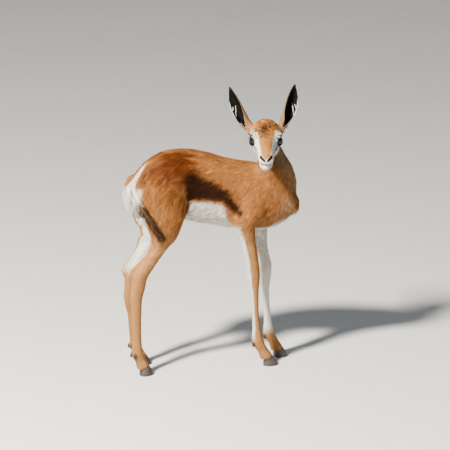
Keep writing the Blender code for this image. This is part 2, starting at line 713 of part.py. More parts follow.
def joint_plane(leg, share):
    """The plane across a leg at a share of the way down, facing up it."""
    path = np.array(LEG_PATHS[leg])
    at = [[np.interp(share + d, path[:, 0], path[:, k]) for k in (1, 2, 3)] for d in (-0.12, 0, 0.12)]
    return np.array(at[1]), unit(np.array(at[0]) - np.array(at[2]))


def coronet_plane(leg):
    path = np.array(LEG_PATHS[leg])[-1]
    return np.array([path[1], path[2], CORONET]), unit(UP - CORONET_SLOPE * compass(FEET[leg][2]))


def flipped(plane):
    return plane[0], -np.asarray(plane[1])


def legs_from(body):
    """Parts the four legs from the body, each into an upper leg and a cannon with its foot."""
    for leg in LEG_PATHS:
        planes = leg_planes(leg)
        joint = joint_plane(leg, 2.0 if leg.startswith("fore") else 2.12)
        coronet = coronet_plane(leg)
        kept(body, leg + "_upper", [*planes, flipped(joint)])
        cannon = kept(body, leg + "_cannon", [*planes[:3], joint, flipped(coronet)])
        for hand, word in ((1, "a"), (-1, "b")):
            claw = solid("claw", claw_form(leg, hand))
            kept(claw, f"hoof_{leg}_{word}", [coronet])
            gone(claw)
            dewclaw(leg, hand, word, cannon)
    for leg in LEG_PATHS:
        without(body, leg_planes(leg))


def dewclaw(leg, hand, word, cannon):
    """A small horn behind the fetlock, seated on the leg."""
    path = np.array(LEG_PATHS[leg])
    x, y, z = path[path[:, 0] == 3.0][0, 1:]
    ahead = compass(FEET[leg][2])
    side = np.array([-ahead[1], ahead[0], 0.0]) * hand
    reach = (FORE if leg.startswith("fore") else HIND)[-3][2]
    centre = np.array([x, y, z - DEWCLAW_DOWN]) - ahead * (reach - 0.0035) + side * DEWCLAW_APART
    deep, wide, high = DEWCLAW
    lean = unit(UP - 0.35 * ahead)
    axes = [deep * unit(ahead + 0.35 * UP), wide * side, high * lean]
    horn = solid(f"dewclaw_{leg}_{word}", ellipsoid(centre, axes, 5, 8))
    tool = grown(cannon, GAP)
    cut(horn, tool, "DIFFERENCE")
    gone(tool)


def lock_form(line, root, turn, length):
    """A flat tapered hair lock that leaves the tail at a share of its length and lies along it, bowed out by
    lift sin(pi t^0.7): t runs from 0 at the root to 1 at the tip, and each section is a thin rhombus."""
    run = np.concatenate([[0], np.cumsum(np.linalg.norm(np.diff(line[:, :3], axis=0), axis=1))])
    t = np.linspace(0, 1, 5)
    at = root * run[-1] + t * length
    past = np.clip(at - run[-1], 0, None)[:, None]
    along = unit(line[-1, :3] - line[-3, :3])
    spine = np.stack([np.interp(at, run, line[:, k]) for k in range(3)], -1) + past * along
    along = unit(np.gradient(spine, axis=0))
    out = unit(np.asarray(TAIL_OUT) - along * (along @ np.asarray(TAIL_OUT))[:, None])
    side = np.cross(along, out)
    outward = np.cos(turn) * out + np.sin(turn) * side
    flat = np.cross(along, outward)
    rise = 0.0008 + LOCK_LIFT * np.sin(np.pi * t**0.7 * 0.85)
    spine = spine + rise[:, None] * outward
    wide = LOCK_WIDTH * (0.10 + 0.90 * np.sin(np.pi * (0.22 + 0.78 * t)) ** 0.8)
    thick = LOCK_THICKNESS * (0.25 + 0.75 * (1 - t))
    rings = [spine + flat * wide[:, None], spine + outward * thick[:, None]]
    rings += [spine - flat * wide[:, None], spine - outward * thick[:, None]]
    rings = np.stack(rings, 1)
    poles = [spine[0] - along[0] * 0.001, spine[-1] + along[-1] * 0.0015]
    return np.concatenate([rings.reshape(-1, 3), poles]), tube_faces(len(t), 4)


def tail_with_brush():
    """The tail's core, joined by one union with the locks of its brush."""
    rows = [(x, y, z, deep, deep, wide) for x, y, z, deep, wide in TAIL]
    tail = solid("tail", loft(rows, (-1, 0, 0.3), rings=14, sides=8))
    line = through(rows, 60)
    chance = np.random.default_rng(4)
    brush = bpy.data.collections.new("brush")
    bpy.context.scene.collection.children.link(brush)
    for k in range(LOCKS):
        root = LOCKS_FROM + (LOCKS_TO - LOCKS_FROM) * (k + chance.uniform(-0.3, 0.3)) / (LOCKS - 1)
        turn = LOCK_SPREAD * (2 * (k * 0.618 % 1) - 1)
        lock = solid("lock", lock_form(line, root, turn, chance.uniform(*LOCK_LENGTH)))
        bpy.context.scene.collection.objects.unlink(lock)
        brush.objects.link(lock)
    modified(tail, "BOOLEAN", operand_type="COLLECTION", collection=brush, operation="UNION", solver="EXACT")
    gone(*brush.objects)
    bpy.data.collections.remove(brush)
    return largest(tail)


def groove(head, places, radius, name):
    """A tube along places in the head's frame, each moved to the head's nearest surface."""
    line = through([(*in_head(*p), 0) for p in places], 14)[:, :3]
    seat = np.array([head.closest_point_on_mesh(Vector(p))[1] for p in line])
    rows = [(*p, radius, radius, radius) for p in seat]
    return solid(name, loft(rows, BROW, rings=22, sides=8))


def carve_head(head):
    """Sockets with lids round the eyes, nostrils, the line of the mouth and the groove above it."""
    tools = []
    mouth = [(s, u, -w) for s, u, w in MOUTH[:0:-1]] + MOUTH
    tools.append(groove(head, mouth, MOUTH_DEPTH, "mouth"))
    tools.append(groove(head, PHILTRUM, MOUTH_DEPTH * 0.8, "philtrum"))
    for hand in (1, -1):
        # the window comes first, because a socket with no way out would count as a lost inner shell
        tools.append(solid("window", eye_window(hand)))
        tools.append(solid("socket", eye_ball(hand, EYE_RADIUS + GAP, 16, 24)))
        s, u, side = NOSTRIL_AT
        a, b, c = NOSTRIL_SIZE
        back, high, out = NOSTRIL_LINE
        long = unit(back * NOSE + high * BROW + hand * out * LEFT)
        deep = unit(NOSE + 0.6 * hand * LEFT)
        across = unit(np.cross(deep, long))
        axes = [a * deep, b * long, c * across]
        tools.append(solid("nostril", ellipsoid(in_head(s, u, hand * side), axes, 8, 14)))
    for tool in tools:
        cut(head, tool, "DIFFERENCE")
    gone(*tools)


def dress(ob):
    """Smooth shading and the node's own finish, by the start of its name."""
    colour, rough = next(f[1:] for f in FINISHES if ob.name.startswith(f[0]))
    finish = bpy.data.materials.new(ob.name)
    finish.use_nodes = True
    shader = finish.node_tree.nodes["Principled BSDF"]
    shader.inputs["Base Color"].default_value = (*colour, 1.0)
    shader.inputs["Roughness"].default_value = rough
    shader.inputs["Metallic"].default_value = 0.0
    ob.data.materials.clear()
    ob.data.materials.append(finish)
    ob.data.shade_smooth()
    if ob.name.startswith("hoof"):
        ob.data.set_sharp_from_angle(angle=HOOF_EDGE)


def main():
    for ob in list(bpy.data.objects):
        bpy.data.objects.remove(ob)
    legs = list(LEG_PATHS)
    heels = [f for leg in legs if leg.startswith("hind") for f in heel_forms(leg)]
    forms = [trunk_form(), neck_form(), *trunk_swellings(), *[leg_form(k) for k in legs], *heels]
    body = flesh("torso", 0.0022, 6, 6000, *forms, soft=upper_share, melt=45)

    whole_head = flesh("whole_head", 0.0016, 4, 3700, neck_form(), *head_forms(), soft=skull_share, melt=26)
    head = kept(whole_head, "head", [flipped(NECK_TOP)])
    gone(whole_head)
    tool = grown(head, GAP)
    for hand, word in ((1, "left"), (-1, "right")):
        solid("eye_" + word, eye_ball(hand, EYE_RADIUS, 10, 16))
        ear = solid("ear_" + word, ear_form(hand))
        cut(ear, tool, "DIFFERENCE")
    gone(tool)
    carve_head(head)

    tail = tail_with_brush()
    tool = grown(body, GAP)
    cut(tail, tool, "DIFFERENCE")
    gone(tool)
    kept(body, "neck", [flipped(NECK_BASE), NECK_TOP])
    legs_from(body)
    without(body, [flipped(NECK_BASE)])
    for ob in bpy.data.objects:
        ob.data.transform(Matrix.Translation(-Vector(CENTRE)))
        dress(ob)


if __name__ == "__main__":
    main()
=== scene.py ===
"""The looks of a springbok lamb: skin, coat, eyes, ears, feet and stage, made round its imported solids.

Metres, +Z up, +X the way the body faces, +Y to the animal's left, as in the frame. The head has a frame of
its own, whose places are given as (along the nose, up the brow, to the animal's left).
"""

import bmesh
import bpy
import numpy as np
from bpy.props import FloatProperty, FloatVectorProperty, IntProperty, PointerProperty
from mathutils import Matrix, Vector


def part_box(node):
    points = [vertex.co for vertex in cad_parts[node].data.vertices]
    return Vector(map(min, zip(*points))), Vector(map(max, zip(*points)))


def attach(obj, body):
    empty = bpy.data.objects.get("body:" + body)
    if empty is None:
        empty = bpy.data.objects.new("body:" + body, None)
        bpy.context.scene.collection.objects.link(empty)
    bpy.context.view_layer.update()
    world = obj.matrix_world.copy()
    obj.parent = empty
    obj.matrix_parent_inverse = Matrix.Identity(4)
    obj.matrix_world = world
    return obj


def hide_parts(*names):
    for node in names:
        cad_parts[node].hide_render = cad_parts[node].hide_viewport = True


bl_info = {
    "name": "Springbok lamb",
    "version": (1, 0, 0),
    "blender": (4, 5, 0),
    "location": "3D View > Sidebar > Springbok lamb",
    "description": "Skin, coat, eyes, ears, feet and stage of a standing springbok lamb",
    "category": "Add Mesh",
}

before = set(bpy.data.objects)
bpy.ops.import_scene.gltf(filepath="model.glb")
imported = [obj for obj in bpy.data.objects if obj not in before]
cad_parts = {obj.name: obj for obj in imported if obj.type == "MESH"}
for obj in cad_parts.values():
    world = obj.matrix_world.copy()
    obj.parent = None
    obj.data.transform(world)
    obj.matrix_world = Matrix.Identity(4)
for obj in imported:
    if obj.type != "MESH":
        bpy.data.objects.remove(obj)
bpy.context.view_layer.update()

UP = np.array([0.0, 0.0, 1.0])
LEGS = ("fore_right", "fore_left", "hind_right", "hind_left")
FLESH = ["torso", "neck", "head"] + [f"{leg}_{part}" for leg in LEGS for part in ("upper", "cannon")]
HANDS = {"right": -1, "left": 1}

# The bow of the spine, as a parabola: how deep, where it crosses, and where its middle lies
BEND, HALF_SPAN, BEND_X, BEND_Y = 0.024, 0.17, -0.0204, 0.0283

# How far the head looks down, and where its frame lies from the middle of the eyes
HEAD_DOWN = np.radians(12.0)
EYE_AT = (-0.003, 0.0055, 0.0268)
EYE_LOOK = (0.42, 0.12, 0.90)
EYE_OPENING = (0.0128, 0.0094)  # half its length and half its height
EYE_TILT = 0.22  # how far the opening's front end hangs

# Line of the mouth, the groove above it and the nostril's slit, in the head's frame
MOUTH = [(0.0820, -0.0228, 0.0), (0.0765, -0.0236, 0.0105), (0.0620, -0.0245, 0.0180), (0.0450, -0.0225, 0.0200)]
PHILTRUM = [(0.0835, -0.0110, 0.0), (0.0830, -0.0165, 0.0), (0.0820, -0.0220, 0.0)]
NOSTRIL = [(0.0735, -0.0026, 0.0138), (0.0790, -0.0062, 0.0088), (0.0826, -0.0098, 0.0040)]

# Ear: share of its length, arc's radius, half angle, thickness
EAR = [
    (0.00, 0.0086, 2.95, 0.0026),
    (0.12, 0.0098, 2.90, 0.0022),
    (0.24, 0.0120, 2.55, 0.0019),
    (0.36, 0.0150, 1.95, 0.0017),
    (0.50, 0.0175, 1.50, 0.0015),
    (0.63, 0.0188, 1.25, 0.0014),
    (0.77, 0.0172, 1.02, 0.0013),
    (0.91, 0.0120, 0.68, 0.0012),
    (1.00, 0.0050, 0.30, 0.0010),
]
EAR_ROOT = (-0.040, 0.0115, 0.0300)
EAR_TIP = {"right": (0.0503, 0.0485, 0.7205), "left": (0.2150, 0.0123, 0.7271)}
EAR_OPENS = {"right": (-0.80, -0.60, 0.10), "left": (0.27, -0.96, 0.10)}

# Tail's core: x, y, z, radius
TAIL = [
    (-0.1664, 0.0323, 0.486, 0.0085),
    (-0.1964, 0.0223, 0.4825, 0.0078),
    (-0.2039, -0.0027, 0.4725, 0.0055),
    (-0.1984, -0.0252, 0.457, 0.0036),
    (-0.1894, -0.0372, 0.436, 0.0028),
    (-0.1779, -0.0462, 0.4155, 0.0026),
    (-0.1669, -0.0512, 0.3955, 0.0026),
    (-0.1529, -0.0527, 0.3720, 0.0024),
    (-0.1464, -0.0522, 0.3600, 0.0014),
]

# Feet: where the sole's middle lies, and the way the toes point
FEET = {
    "fore_right": (0.1456, -0.0077, -10.0),
    "fore_left": (0.1886, 0.0633, -10.0),
    "hind_right": (-0.1804, -0.0237, 26.0),
    "hind_left": (-0.1664, 0.0693, 12.0),
}
CLAW_LENGTH, CLAW_WIDTH, CLAW_HEIGHT, CLEFT = 0.037, 0.0136, 0.030, 0.0014
CORONET, CORONET_SLOPE = 0.0262, 0.27  # height of the hoof's top edge, and how much higher it is in front

# Lie of the coat on the body: x, distance from the spine's plane, z, then the way the hair points, and reach
LIE = [
    ((0.12, 0.00, 0.525), (-0.9, 0.0, 0.1), 0.04),
    ((0.03, 0.00, 0.545), (-1.0, 0.0, 0.0), 0.04),
    ((-0.06, 0.00, 0.565), (-1.0, 0.1, 0.0), 0.04),
    ((-0.14, 0.00, 0.555), (-0.9, 0.2, -0.4), 0.03),
    ((0.17, 0.04, 0.460), (-0.55, 0.1, -0.85), 0.04),
    ((0.12, 0.06, 0.450), (-0.65, 0.0, -0.76), 0.04),
    ((0.06, 0.07, 0.470), (-0.84, 0.0, -0.54), 0.04),
    ((0.00, 0.07, 0.460), (-0.86, 0.0, -0.50), 0.04),
    ((-0.05, 0.07, 0.480), (-0.82, 0.0, -0.56), 0.03),
    ((0.09, 0.05, 0.400), (-0.50, 0.0, -0.86), 0.03),
    ((0.00, 0.05, 0.380), (-0.75, 0.0, -0.50), 0.04),
    ((0.00, 0.00, 0.345), (-1.0, 0.0, 0.0), 0.03),
    ((0.10, 0.00, 0.350), (-1.0, 0.0, 0.0), 0.03),
    ((-0.09, 0.065, 0.500), (-0.75, 0.0, -0.66), 0.03),
    ((-0.13, 0.065, 0.480), (-0.62, 0.0, -0.78), 0.035),
    ((-0.12, 0.070, 0.430), (-0.35, 0.0, -0.94), 0.035),
    ((-0.09, 0.060, 0.400), (-0.30, 0.0, -0.95), 0.03),
    ((-0.18, 0.030, 0.500), (-0.60, 0.3, -0.75), 0.03),
    ((-0.20, 0.030, 0.450), (-0.45, 0.25, -0.85), 0.03),
    ((-0.18, 0.050, 0.400), (-0.15, 0.1, -0.98), 0.03),
    ((0.20, 0.02, 0.430), (0.10, 0.15, -0.98), 0.03),
    ((0.17, 0.00, 0.385), (-0.35, 0.0, -0.90), 0.03),
]
# The same on the head, in the head's frame
HEAD_LIE = [
    ((0.080, 0.000, 0.004), (-1.0, 0.45, 0.25), 0.010),
    ((0.050, 0.016, 0.000), (-1.0, 0.20, 0.05), 0.014),
    ((0.015, 0.030, 0.004), (-1.0, 0.55, 0.10), 0.014),
    ((-0.015, 0.045, 0.008), (-1.0, 0.35, 0.25), 0.016),
    ((-0.045, 0.035, 0.008), (-0.8, -0.6, 0.1), 0.016),
    ((0.060, -0.012, 0.018), (-1.0, -0.05, 0.1), 0.012),
    ((0.030, -0.012, 0.024), (-1.0, -0.10, 0.1), 0.014),
    ((0.000, -0.020, 0.030), (-0.9, -0.35, 0.1), 0.016),
    ((-0.035, -0.005, 0.036), (-0.8, -0.60, 0.0), 0.016),
    ((0.060, -0.042, 0.006), (-1.0, 0.0, 0.0), 0.014),
    ((0.010, -0.042, 0.006), (-1.0, -0.1, 0.0), 0.016),
]

# Edges of the side's markings: x, then the dark band's upper and lower edge and the white belly's edge
BAND_X = (-0.075, -0.049, -0.013, 0.024, 0.053, 0.066, 0.076)
BAND_TOP = (0.512, 0.522, 0.499, 0.477, 0.450, 0.426, 0.408)
BAND_LOW = (0.450, 0.450, 0.446, 0.441, 0.411, 0.403, 0.402)
BELLY_X = (-0.16, -0.12, -0.07, -0.054, 0.0, 0.022, 0.032, 0.041, 0.052, 0.075, 0.11, 0.15, 0.18, 0.20, 0.22)
BELLY_Z = (0.36, 0.385, 0.42, 0.449, 0.445, 0.440, 0.421, 0.391, 0.374, 0.360, 0.368, 0.376, 0.388, 0.40, 0.41)
BELLY_WIDE = (0.02, 0.03, 0.04, 0.08, 0.08, 0.08, 0.08, 0.06, 0.045, 0.032, 0.030, 0.030, 0.04, 0.05, 0.06)

# Strokes of colour on the body: colour, softness, strength, then x, distance from the spine's plane, z, radius
BODY_STROKES = [
    ("croup", 0.030, 0.62, [(0.110, 0.0, 0.535, 0.012), (0.040, 0.0, 0.556, 0.016), (-0.060, 0.0, 0.572, 0.022)]),
    ("croup", 0.030, 0.76, [(-0.165, 0.030, 0.515, 0.020), (-0.130, 0.040, 0.525, 0.035),
                            (-0.085, 0.045, 0.530, 0.038)]),
    ("croup", 0.030, 0.52, [(-0.150, 0.060, 0.470, 0.022), (-0.105, 0.065, 0.475, 0.030)]),
    ("croup", 0.016, 0.80, [(-0.120, 0.022, 0.560, 0.020), (-0.085, 0.035, 0.550, 0.028),
                            (-0.066, 0.055, 0.520, 0.024)]),
    ("croup", 0.014, 0.45, [(-0.145, 0.030, 0.535, 0.014), (-0.105, 0.045, 0.530, 0.022)]),
    ("band", 0.008, 0.88, [(-0.062, 0.060, 0.505, 0.010), (-0.059, 0.066, 0.470, 0.008),
                           (-0.064, 0.060, 0.425, 0.007), (-0.082, 0.056, 0.392, 0.006)]),
    ("croup", 0.006, 0.60, [(-0.082, 0.056, 0.392, 0.006), (-0.104, 0.056, 0.355, 0.005)]),
    ("thigh", 0.018, 0.75, [(-0.150, 0.060, 0.430, 0.020), (-0.140, 0.060, 0.385, 0.018)]),
    ("white", 0.0025, 1.00, [(-0.158, 0.0, 0.547, 0.0035), (-0.172, 0.0, 0.533, 0.0060),
                             (-0.186, 0.0, 0.517, 0.0085), (-0.197, 0.0, 0.500, 0.0130),
                             (-0.207, 0.0, 0.485, 0.0200), (-0.213, 0.004, 0.462, 0.0330),
                             (-0.208, 0.006, 0.430, 0.0330), (-0.196, 0.010, 0.400, 0.0280)]),
    ("white", 0.004, 0.95, [(-0.193, 0.040, 0.480, 0.012), (-0.198, 0.040, 0.455, 0.013),
                            (-0.196, 0.034, 0.425, 0.015), (-0.184, 0.030, 0.395, 0.015)]),
    ("white", 0.004, 0.90, [(-0.180, 0.030, 0.400, 0.016), (-0.165, 0.026, 0.360, 0.012)]),
    # Hollow: painted shadow under the tail's root over its darker skin, on the animal's right side only
    ("hollow", 0.005, 0.90, [(-0.192, -0.030, 0.446, 0.010), (-0.188, -0.033, 0.428, 0.011)]),
    ("pale", 0.014, 0.80, [(0.190, 0.0, 0.412, 0.020), (0.165, 0.0, 0.385, 0.024)]),
    ("pale", 0.010, 0.35, [(0.150, 0.02, 0.400, 0.02), (0.185, 0.03, 0.425, 0.02)]),
]
# Strokes of colour on the head, in its frame, with the side given from the middle
HEAD_STROKES = [
    ("crown", 0.004, 1.00, [(-0.056, 0.020, 0.0, 0.036), (-0.030, 0.030, 0.0, 0.036),
                            (-0.008, 0.036, 0.0, 0.026), (0.010, 0.030, 0.0, 0.0222),
                            (0.038, 0.017, 0.0, 0.0162), (0.062, 0.008, 0.0, 0.0142),
                            (0.075, 0.002, 0.0, 0.0120)]),
    ("crown", 0.010, 0.95, [(-0.070, 0.004, 0.0, 0.046), (-0.080, -0.020, 0.0, 0.042)]),
    ("crown", 0.005, 0.85, [(-0.040, 0.010, 0.030, 0.016), (-0.052, -0.010, 0.026, 0.016)]),
    ("bridge", 0.006, 0.75, [(0.012, 0.030, 0.0, 0.016), (0.040, 0.017, 0.0, 0.013), (0.066, 0.006, 0.0, 0.011)]),
    ("whorl", 0.008, 0.85, [(-0.010, 0.040, 0.0, 0.012), (0.006, 0.034, 0.0, 0.007)]),
    ("whorl", 0.010, 0.45, [(-0.012, 0.034, 0.020, 0.006), (-0.030, 0.034, 0.012, 0.008)]),
    ("whorl", 0.006, 0.35, [(0.006, 0.034, 0.0, 0.005), (0.045, 0.018, 0.0, 0.004)]),
    ("whorl", 0.003, 0.45, [(0.022, 0.013, 0.0175, 0.0018), (0.050, 0.004, 0.0125, 0.0015)]),
    # Painted shade under the chin, in the neck's colour
    ("neck", 0.006, 0.72, [(0.072, -0.042, 0.0, 0.0150), (0.050, -0.048, 0.0, 0.0150)]),
    ("crown", 0.005, 0.75, [(-0.034, 0.022, 0.0360, 0.0100), (-0.014, 0.023, 0.0400, 0.0050)]),
    ("white", 0.0025, 0.95, [(-0.010, 0.0230, 0.0330, 0.0035), (0.008, 0.0200, 0.0275, 0.0050),
                             (0.0215, 0.0110, 0.0228, 0.0048), (0.043, 0.0050, 0.0182, 0.0045),
                             (0.062, -0.0010, 0.0165, 0.0050)]),
    ("bridge", 0.005, 0.80, [(0.018, -0.012, 0.0330, 0.0080), (0.040, -0.022, 0.0250, 0.0070)]),
    ("bridge", 0.006, 0.80, [(-0.030, 0.010, 0.0400, 0.0120), (-0.045, -0.015, 0.0330, 0.0140)]),
    ("line", 0.0016, 0.90, [(0.0120, 0.0010, 0.0300, 0.0022), (0.0240, -0.0020, 0.0255, 0.0020),
                            (0.0400, -0.0100, 0.0205, 0.0020), (0.0520, -0.0170, 0.0195, 0.0014)]),
    ("lid", 0.0020, 0.95, [(-0.003, 0.0055, 0.0300, 0.0168)]),
    ("lid", 0.0016, 0.90, [(0.009, 0.0030, 0.0300, 0.0052)]),
]

# Camera and light
VIEW_AZIMUTH, VIEW_ELEVATION, VIEW_DISTANCE, VIEW_WIDTH = -13.0, 15.0, 13.0, 1.1475
VIEW_RIGHT, VIEW_UP = 0.0551, 0.3576  # where the picture's middle lies from the stance's middle
SENSOR = 36.0


class LambSizes(bpy.types.PropertyGroup):
    """Sizes of the skin and the coat."""

    trunk_depth: FloatProperty(
        name="Coat on the trunk", description="How deep the skin lies under the trunk's coat",
        default=0.0030, min=0.0, max=0.01, subtype="DISTANCE", unit="LENGTH")
    leg_depth: FloatProperty(
        name="Coat on the legs", description="How deep the skin lies under the coat of the lower legs",
        default=0.0011, min=0.0, max=0.005, subtype="DISTANCE", unit="LENGTH")
    crown_depth: FloatProperty(
        name="Coat on the crown", description="How deep the skin lies under the curls of the forehead",
        default=0.0026, min=0.0, max=0.01, subtype="DISTANCE", unit="LENGTH")
    face_depth: FloatProperty(
        name="Coat on the face", description="How deep the skin lies under the coat of the face",
        default=0.0007, min=0.0, max=0.005, subtype="DISTANCE", unit="LENGTH")
    trunk_hair: FloatProperty(
        name="Trunk hair", description="Length of the tufts on the trunk",
        default=0.0135, min=0.002, max=0.04, subtype="DISTANCE", unit="LENGTH")
    leg_hair: FloatProperty(
        name="Leg hair", description="Length of the tufts on the lower legs",
        default=0.0050, min=0.001, max=0.02, subtype="DISTANCE", unit="LENGTH")
    face_hair: FloatProperty(
        name="Face hair", description="Length of the tufts on the face",
        default=0.0042, min=0.001, max=0.02, subtype="DISTANCE", unit="LENGTH")
    brush_hair: FloatProperty(
        name="Brush hair", description="Length of the locks of the tail's brush",
        default=0.034, min=0.01, max=0.08, subtype="DISTANCE", unit="LENGTH")
    hair_width: FloatProperty(
        name="Tuft width", description="Half width of a tuft on the trunk near its root",
        default=0.00036, min=0.0001, max=0.002, subtype="DISTANCE", unit="LENGTH")
    lid: FloatProperty(
        name="Eyelid", description="Thickness of the eyelids at their edge",
        default=0.0013, min=0.0005, max=0.004, subtype="DISTANCE", unit="LENGTH")


class LambCounts(bpy.types.PropertyGroup):
    """Numbers of tufts."""

    body: IntProperty(name="Body tufts", description="Tufts on trunk, neck and upper legs", default=98000)
    shins: IntProperty(name="Leg tufts", description="Tufts on the lower legs", default=36000)
    face: IntProperty(name="Face tufts", description="Tufts on the face", default=42000)
    crown: IntProperty(name="Curls", description="Curled tufts on the forehead", default=4200)
    ears: IntProperty(name="Ear tufts", description="Tufts on each side of each ear", default=4600)
    brush: IntProperty(name="Brush locks", description="Locks on the tail", default=1500)


def colour_of(name, description, default):
    return FloatVectorProperty(
        name=name, description=description, default=default, size=3, min=0.0, max=1.0, subtype="COLOR")


class LambColours(bpy.types.PropertyGroup):
    """Colours of skin, coat, eyes and horn."""

    fawn: colour_of("Fawn", "Back and sides", (0.385, 0.172, 0.064))
    leg: colour_of("Leg", "Outside of the legs", (0.490, 0.258, 0.115))
    thigh: colour_of("Thigh", "Lower thigh", (0.370, 0.200, 0.092))
    croup: colour_of("Croup", "Croup and loin", (0.125, 0.034, 0.008))
    band: colour_of("Band", "Dark band along the flank", (0.024, 0.007, 0.002))
    white: colour_of("White", "Belly, rump and face", (0.800, 0.765, 0.690))
    pale: colour_of("Pale", "Brisket and throat", (0.460, 0.360, 0.250))
    # Neck: the neck's own grey-brown, darkened as painted shade for the head's shadow on it; the chin's painted
    # shade uses it too
    neck: colour_of("Neck", "Sides of the neck", (0.160, 0.105, 0.060))
    crown: colour_of("Crown", "Forehead", (0.400, 0.183, 0.056))
    bridge: colour_of("Bridge", "Bridge of the nose", (0.420, 0.208, 0.080))
    whorl: colour_of("Whorl", "Middle of the forehead", (0.120, 0.034, 0.009))
    line: colour_of("Line", "Line from the eye to the mouth", (0.085, 0.028, 0.010))
    lid: colour_of("Lid", "Skin round the eye", (0.006, 0.004, 0.003))
    # Hollow: the darker skin under the tail's root, deepened by painted shadow
    hollow: colour_of("Hollow", "Under the tail's root", (0.022, 0.015, 0.010))
    ear_back: colour_of("Ear's back", "Outside of the ears", (0.300, 0.195, 0.110))
    ear_rim: colour_of("Ear's rim", "Dark edges and tips of the ears", (0.050, 0.028, 0.014))
    ear_hollow: colour_of("Ear's hollow", "Inside of the ears", (0.004, 0.003, 0.0025))
    brush: colour_of("Brush", "Dark end of the tail", (0.040, 0.022, 0.012))
    eye: colour_of("Eye", "Iris", (0.008, 0.004, 0.002))
    hoof: colour_of("Hoof", "Horn of the hooves", (0.058, 0.051, 0.045))
    dewclaw: colour_of("Dewclaw", "Horn of the dewclaws", (0.035, 0.030, 0.027))
    floor: colour_of("Floor", "Floor and backdrop", (0.70, 0.69, 0.67))


def unit(v):
    v = np.asarray(v, float)
    return v / np.maximum(np.linalg.norm(v, axis=-1, keepdims=True), 1e-12)


def ease(x):
    """0 below 0, 1 above 1, and 3x^2 - 2x^3 between."""
    x = np.clip(x, 0.0, 1.0)
    return x * x * (3 - 2 * x)


def hashed(cells, seed):
    """A number from 0 to 1 for each cell of a lattice, always the same for the same cell and seed."""
    c = cells.astype(np.int64).astype(np.uint64)
    h = c[..., 0] * np.uint64(73856093) ^ c[..., 1] * np.uint64(19349663) ^ c[..., 2] * np.uint64(83492791)
    h = (h ^ np.uint64(seed * 2654435761 + 12345)) & np.uint64(0xFFFFFFFF)
    for _ in range(2):
        h = ((h ^ (h >> np.uint64(16))) * np.uint64(73244475)) & np.uint64(0xFFFFFFFF)
    h = h ^ (h >> np.uint64(16))
    return h.astype(float) / 4294967296.0


def noise(points, size, seed=0):
    """Smooth noise from -1 to 1: the corners' hashed numbers, eased between along each axis."""
    q = points / size + 1000.0
    cell = np.floor(q)
    t = ease(q - cell)
    total = np.zeros(len(points))
    for corner in np.ndindex(2, 2, 2):
        c = np.array(corner)
        share = np.prod(np.where(c, t, 1 - t), axis=1)
        total += share * hashed(cell + c, seed)
    return total * 2 - 1


def clumps(points, size, seed=0):
    """The nearest of a lattice's jittered seeds to each point: the way to it, and its own number."""
    q = points / size + 1000.0
    cell = np.floor(q)
    best = np.full(len(points), np.inf)
    way, own = np.zeros_like(points), np.zeros(len(points))
    for shift in np.ndindex(3, 3, 3):
        c = cell + np.array(shift) - 1
        jitter = np.stack([hashed(c, seed + k) for k in (1, 2, 3)], -1)
        to = c + jitter - q
        far = np.einsum("ij,ij->i", to, to)
        near = far < best
        best = np.where(near, far, best)
        way[near] = to[near]
        own = np.where(near, hashed(c, seed + 4), own)
    return way * size, own


def through(rows, count):
    """A smooth curve through rows that start with x, y, z: cubic pieces with the rows' own slopes."""
    rows = np.asarray(rows, float)
    t = np.concatenate([[0], np.cumsum(np.linalg.norm(np.diff(rows[:, :3], axis=0), axis=1))])
    slope = np.gradient(rows, t, axis=0)
    at = np.linspace(0, t[-1], count)
    i = np.clip(np.searchsorted(t, at, side="right") - 1, 0, len(t) - 2)
    h = (t[i + 1] - t[i])[:, None]
    u = (at - t[i])[:, None] / h
    return (
        (2 * u**3 - 3 * u**2 + 1) * rows[i]
        + (u**3 - 2 * u**2 + u) * h * slope[i]
        + (3 * u**2 - 2 * u**3) * rows[i + 1]
        + (u**3 - u**2) * h * slope[i + 1]
    )


def near_chain(points, rows):
    """How far points lie outside a chain of balls, each row holding a place and a radius."""
    rows = np.asarray(rows, float)
    if len(rows) == 1:
        rows = np.repeat(rows, 2, axis=0)
    best = np.full(len(points), np.inf)
    for a, b in zip(rows[:-1], rows[1:]):
        run = b[:3] - a[:3]
        t = np.clip((points - a[:3]) @ run / max(run @ run, 1e-12), 0, 1)
        gap = np.linalg.norm(points - a[:3] - t[:, None] * run, axis=1)
        best = np.minimum(best, gap - a[3] - t * (b[3] - a[3]))
    return best


def node_points(*names):
    out = []
    for name in names:
        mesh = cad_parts[name].data
        flat = np.empty(len(mesh.vertices) * 3)
        mesh.vertices.foreach_get("co", flat)
        out.append(flat.reshape(-1, 3))
    return np.concatenate(out)


def middle(node):
    low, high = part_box(node)
    return (np.array(low) + np.array(high)) / 2


EYE_MIDDLE = {word: middle("eye_" + word) for word in HANDS}
EYE_RADIUS = float((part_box("eye_left")[1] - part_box("eye_left")[0])[2]) / 2
LEFT = unit(EYE_MIDDLE["left"] - EYE_MIDDLE["right"])
AHEAD = np.cross(LEFT, UP)
NOSE = np.cos(HEAD_DOWN) * AHEAD - np.sin(HEAD_DOWN) * UP
BROW = np.sin(HEAD_DOWN) * AHEAD + np.cos(HEAD_DOWN) * UP
HEAD = (EYE_MIDDLE["left"] + EYE_MIDDLE["right"]) / 2 - EYE_AT[0] * NOSE - EYE_AT[1] * BROW
HEAD_AXES = np.stack([NOSE, BROW, LEFT])


def in_head(places):
    return HEAD + np.asarray(places, float) @ HEAD_AXES


def to_head(points):
    return (points - HEAD) @ HEAD_AXES.T


def spine_y(x):
    return BEND_Y + BEND * (1 - ((x - BEND_X) / HALF_SPAN) ** 2)


def to_body(points):
    """x, distance to the left of the spine's plane, z."""
    return np.stack([points[:, 0], points[:, 1] - spine_y(points[:, 0]), points[:, 2]], -1)


